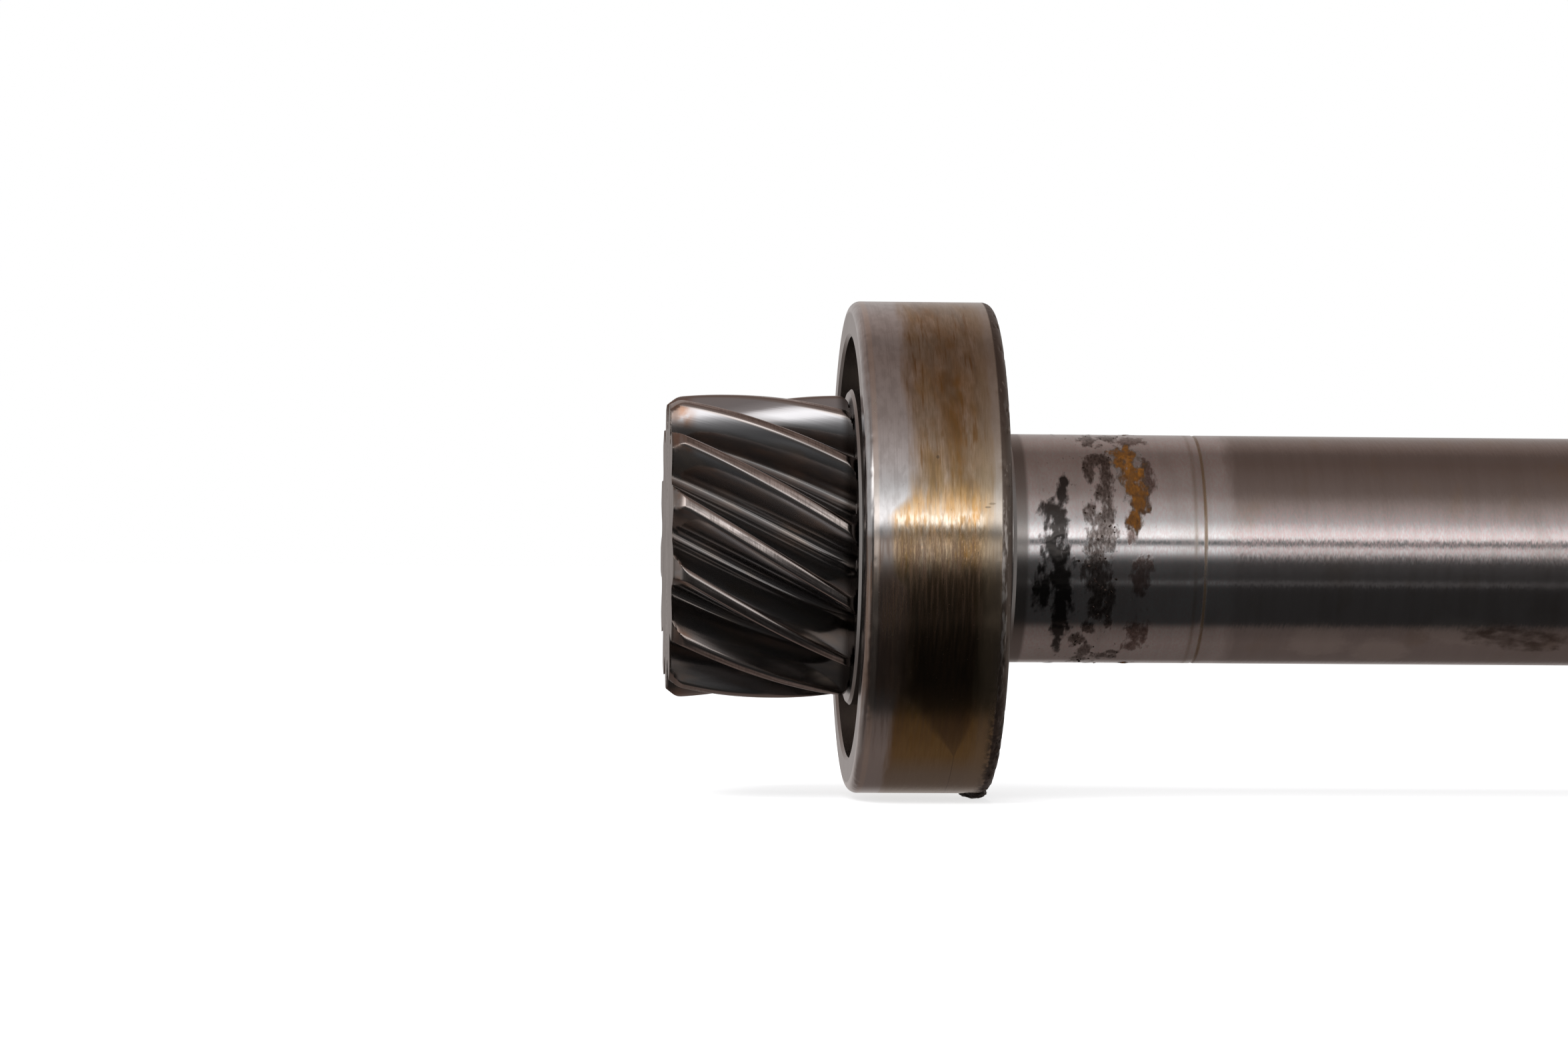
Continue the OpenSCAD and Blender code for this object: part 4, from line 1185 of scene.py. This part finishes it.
# Brightness of the room that the metal mirrors, by the angle in degrees above the front, with a warmth from
# 0 to 1: two soft boxes behind the camera, a pale ceiling, a dark table front, and a white background.
STUDIO_BACK = 172
STUDIO = [
    (-STUDIO_BACK, 0.5, 0.3), (-150, 0.15, 0.8), (-110, 0.19, 0.8), (-88, 0.14, 0.8), (-80, 0.03, 0),
    (-45, 0.032, 0), (-37, 0.035, 0), (-33.5, 0.14, 0), (-30, 0.045, 0), (-13, 0.08, 0), (-9, 0.18, 0),
    (-6.3, 0.34, 0), (-3.3, 0.85, 0), (0.5, 1.22, 0), (3.3, 1.22, 0), (4.5, 0.13, 0), (9.3, 0.15, 0),
    (11, 1.6, 0), (13.5, 1.8, 0), (20, 1.33, 0), (26.5, 0.85, 0), (30, 0.7, 0.1), (40, 0.6, 0.35),
    (47, 0.53, 0.45), (55, 0.4, 0.6), (62, 0.33, 0.7), (97, 0.225, 1), (113, 0.22, 0.9), (119, 0.28, 0.9),
    (135, 0.4, 0.75), (STUDIO_BACK, 0.5, 0.3),
]
# The same at the left of the front, where one lamp stands above the part and dark cloth lies below it.
LEFT_STUDIO = [
    (-STUDIO_BACK, 0.4, 0.3), (-110, 0.1, 0.8), (-60, 0.05, 0), (-20, 0.09, 0), (-8, 0.06, 0), (0, 0.08, 0),
    (8, 0.17, 0), (13, 0.26, 0), (18, 0.5, 0), (23, 0.9, 0), (29, 1.8, 0), (38, 1.95, 0), (46, 1.4, 0.1),
    (52, 0.4, 0.4), (66, 0.28, 0.5), (120, 0.3, 0.9), (STUDIO_BACK, 0.45, 0.3),
]
WARM = Vector((1.0, 0.76, 0.67))
PEAK = 2.0  # brightness that a ramp's white stands for
SIDE_WALLS = (0.55, 0.55, 0.55, 1)
LEFT_FROM, LEFT_FULL = -0.42, -0.56  # a direction's X, where the left of the room starts and is full
SIDE_FROM, SIDE_FULL = 0.68, 0.97  # the same for the walls at both sides, without a sign
FILL = (0.38, 0.38, 0.38, 1)
WHITE = (1, 1, 1, 1)
FLOOR_HALF = 3.0
FLOOR_GAP = 0.02 * MM
FLOOR_GLOW = 0.7
KEY_PLACE, KEY_SIZE, KEY_POWER = (-0.25, -0.7, 0.8), 0.7, 9.0
CAMERA_YAW, CAMERA_ROLL = math.radians(3.68), math.radians(0.43)
CAMERA_DISTANCE = 0.5994
CAMERA_AIM = Vector((-14.22, 0, 2.54)) * MM
LENS_LENGTH, SENSOR_WIDTH = 130.1, 36


def lamps(tree, turn, stops):
    """The brightness that a list of (degrees, brightness, warmth) gives to each direction round the part."""
    ramp = add(tree, "ShaderNodeValToRGB", {0: turn})
    elements = ramp.color_ramp.elements
    elements.remove(elements[-1])
    for i, (degrees, brightness, warmth) in enumerate(stops):
        stop = elements[0] if i == 0 else elements.new(degrees / 360 + 0.5)
        stop.position = degrees / 360 + 0.5
        stop.color = (*(Vector((1, 1, 1)).lerp(WARM, warmth) * brightness / PEAK), 1)
    return add(tree, "ShaderNodeVectorMath", {0: ramp, "Scale": PEAK}, operation="SCALE")


def studio_world():
    """The room: what the metal mirrors, an even fill for what isn't metal, and white for the camera."""
    world = bpy.data.worlds.new("soft_studio")
    world.use_nodes = True
    world.cycles.sampling_method = "NONE"
    bpy.context.scene.world = world
    tree = world.node_tree
    tree.nodes.clear()
    direction = add(tree, "ShaderNodeTexCoord").outputs["Generated"]
    axes = add(tree, "ShaderNodeSeparateXYZ", {0: direction})
    front = add(tree, "ShaderNodeMath", {0: axes.outputs["Y"], 1: -1.0}, operation="MULTIPLY")
    angle = add(tree, "ShaderNodeMath", {0: axes.outputs["Z"], 1: front}, operation="ARCTAN2")
    turn = add(tree, "ShaderNodeMath", {0: angle, 1: 1 / (2 * math.pi), 2: 0.5}, operation="MULTIPLY_ADD")
    left = add(tree, "ShaderNodeMapRange", {
        "Value": axes.outputs["X"], "From Min": LEFT_FROM, "From Max": LEFT_FULL},
        interpolation_type="SMOOTHSTEP")
    middle_lamps, left_lamps = lamps(tree, turn, STUDIO), lamps(tree, turn, LEFT_STUDIO)
    boxes = add(tree, "ShaderNodeMix", {0: left, 6: middle_lamps, 7: left_lamps}, data_type="RGBA")
    side = add(tree, "ShaderNodeMath", {0: axes.outputs["X"]}, operation="ABSOLUTE")
    beside = add(tree, "ShaderNodeMapRange", {"Value": side, "From Min": SIDE_FROM, "From Max": SIDE_FULL},
                 interpolation_type="SMOOTHSTEP")
    studio = add(tree, "ShaderNodeMix", {0: beside, 6: boxes, 7: SIDE_WALLS}, data_type="RGBA")
    path = add(tree, "ShaderNodeLightPath")
    lit = add(tree, "ShaderNodeMix", {0: path.outputs["Is Glossy Ray"], 6: FILL, 7: studio}, data_type="RGBA")
    seen = add(tree, "ShaderNodeMath", {
        0: path.outputs["Is Camera Ray"], 1: path.outputs["Is Transmission Ray"]}, operation="MAXIMUM")
    final = add(tree, "ShaderNodeMix", {0: seen, 6: lit, 7: WHITE}, data_type="RGBA")
    background = add(tree, "ShaderNodeBackground", {"Color": final, "Strength": 1.0})
    add(tree, "ShaderNodeOutputWorld", {"Surface": background})


def studio_floor(low):
    """A pale table top just below the part. It is white to the camera and keeps the part's soft shadow."""
    mesh = bpy.data.meshes.new("studio_floor")
    corners = [(FLOOR_HALF * i, FLOOR_HALF * j, low) for i, j in ((-1, -1), (1, -1), (1, 1), (-1, 1))]
    mesh.from_pydata(corners, [], [(0, 1, 2, 3)])
    material = bpy.data.materials.new("pale_table")
    material.use_nodes = True
    tree = material.node_tree
    tree.nodes.clear()
    pale = add(tree, "ShaderNodeBsdfDiffuse", {"Color": linear("#E4E4E6")})
    glow = add(tree, "ShaderNodeEmission", {"Color": WHITE, "Strength": FLOOR_GLOW})
    both = add(tree, "ShaderNodeAddShader", {0: pale, 1: glow})
    path = add(tree, "ShaderNodeLightPath")
    seen = add(tree, "ShaderNodeMixShader", {0: path.outputs["Is Camera Ray"], 1: pale, 2: both})
    add(tree, "ShaderNodeOutputMaterial", {"Surface": seen})
    mesh.materials.append(material)
    made = in_scene("studio_floor", mesh)
    made.visible_glossy = False
    made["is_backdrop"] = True


def soft_box(name, place, size, power):
    """A square lamp that looks at the part. The metal mirrors the room's soft boxes, not this one."""
    light = bpy.data.lights.new(name, "AREA")
    light.shape, light.size, light.energy = "SQUARE", size, power
    made = in_scene(name, light)
    made.location = place
    made.rotation_euler = Vector(place).to_track_quat("Z", "Y").to_euler()
    made.visible_camera = made.visible_glossy = False


def photo_camera():
    """The photograph's viewpoint, slightly left of square to the shaft, 600 mm away, with a long lens."""
    forward = Vector((math.sin(CAMERA_YAW), math.cos(CAMERA_YAW), 0))
    level = forward.cross(Vector((0, 0, 1)))
    right = math.cos(CAMERA_ROLL) * level + math.sin(CAMERA_ROLL) * Vector((0, 0, 1))
    up = right.cross(forward)
    data = bpy.data.cameras.new("photo_camera")
    data.lens, data.sensor_width = LENS_LENGTH, SENSOR_WIDTH
    data.clip_start, data.clip_end = 0.01, 20
    made = in_scene("photo_camera", data)
    turned = Matrix((right, up, -forward)).transposed().to_4x4()
    made.matrix_world = Matrix.Translation(CAMERA_AIM - forward * CAMERA_DISTANCE) @ turned
    bpy.context.scene.camera = made


studio_world()
studio_floor(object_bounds()[0][2] - FLOOR_GAP)
soft_box("key_box", KEY_PLACE, KEY_SIZE, KEY_POWER)
photo_camera()
bpy.context.scene.view_settings.view_transform = "Standard"
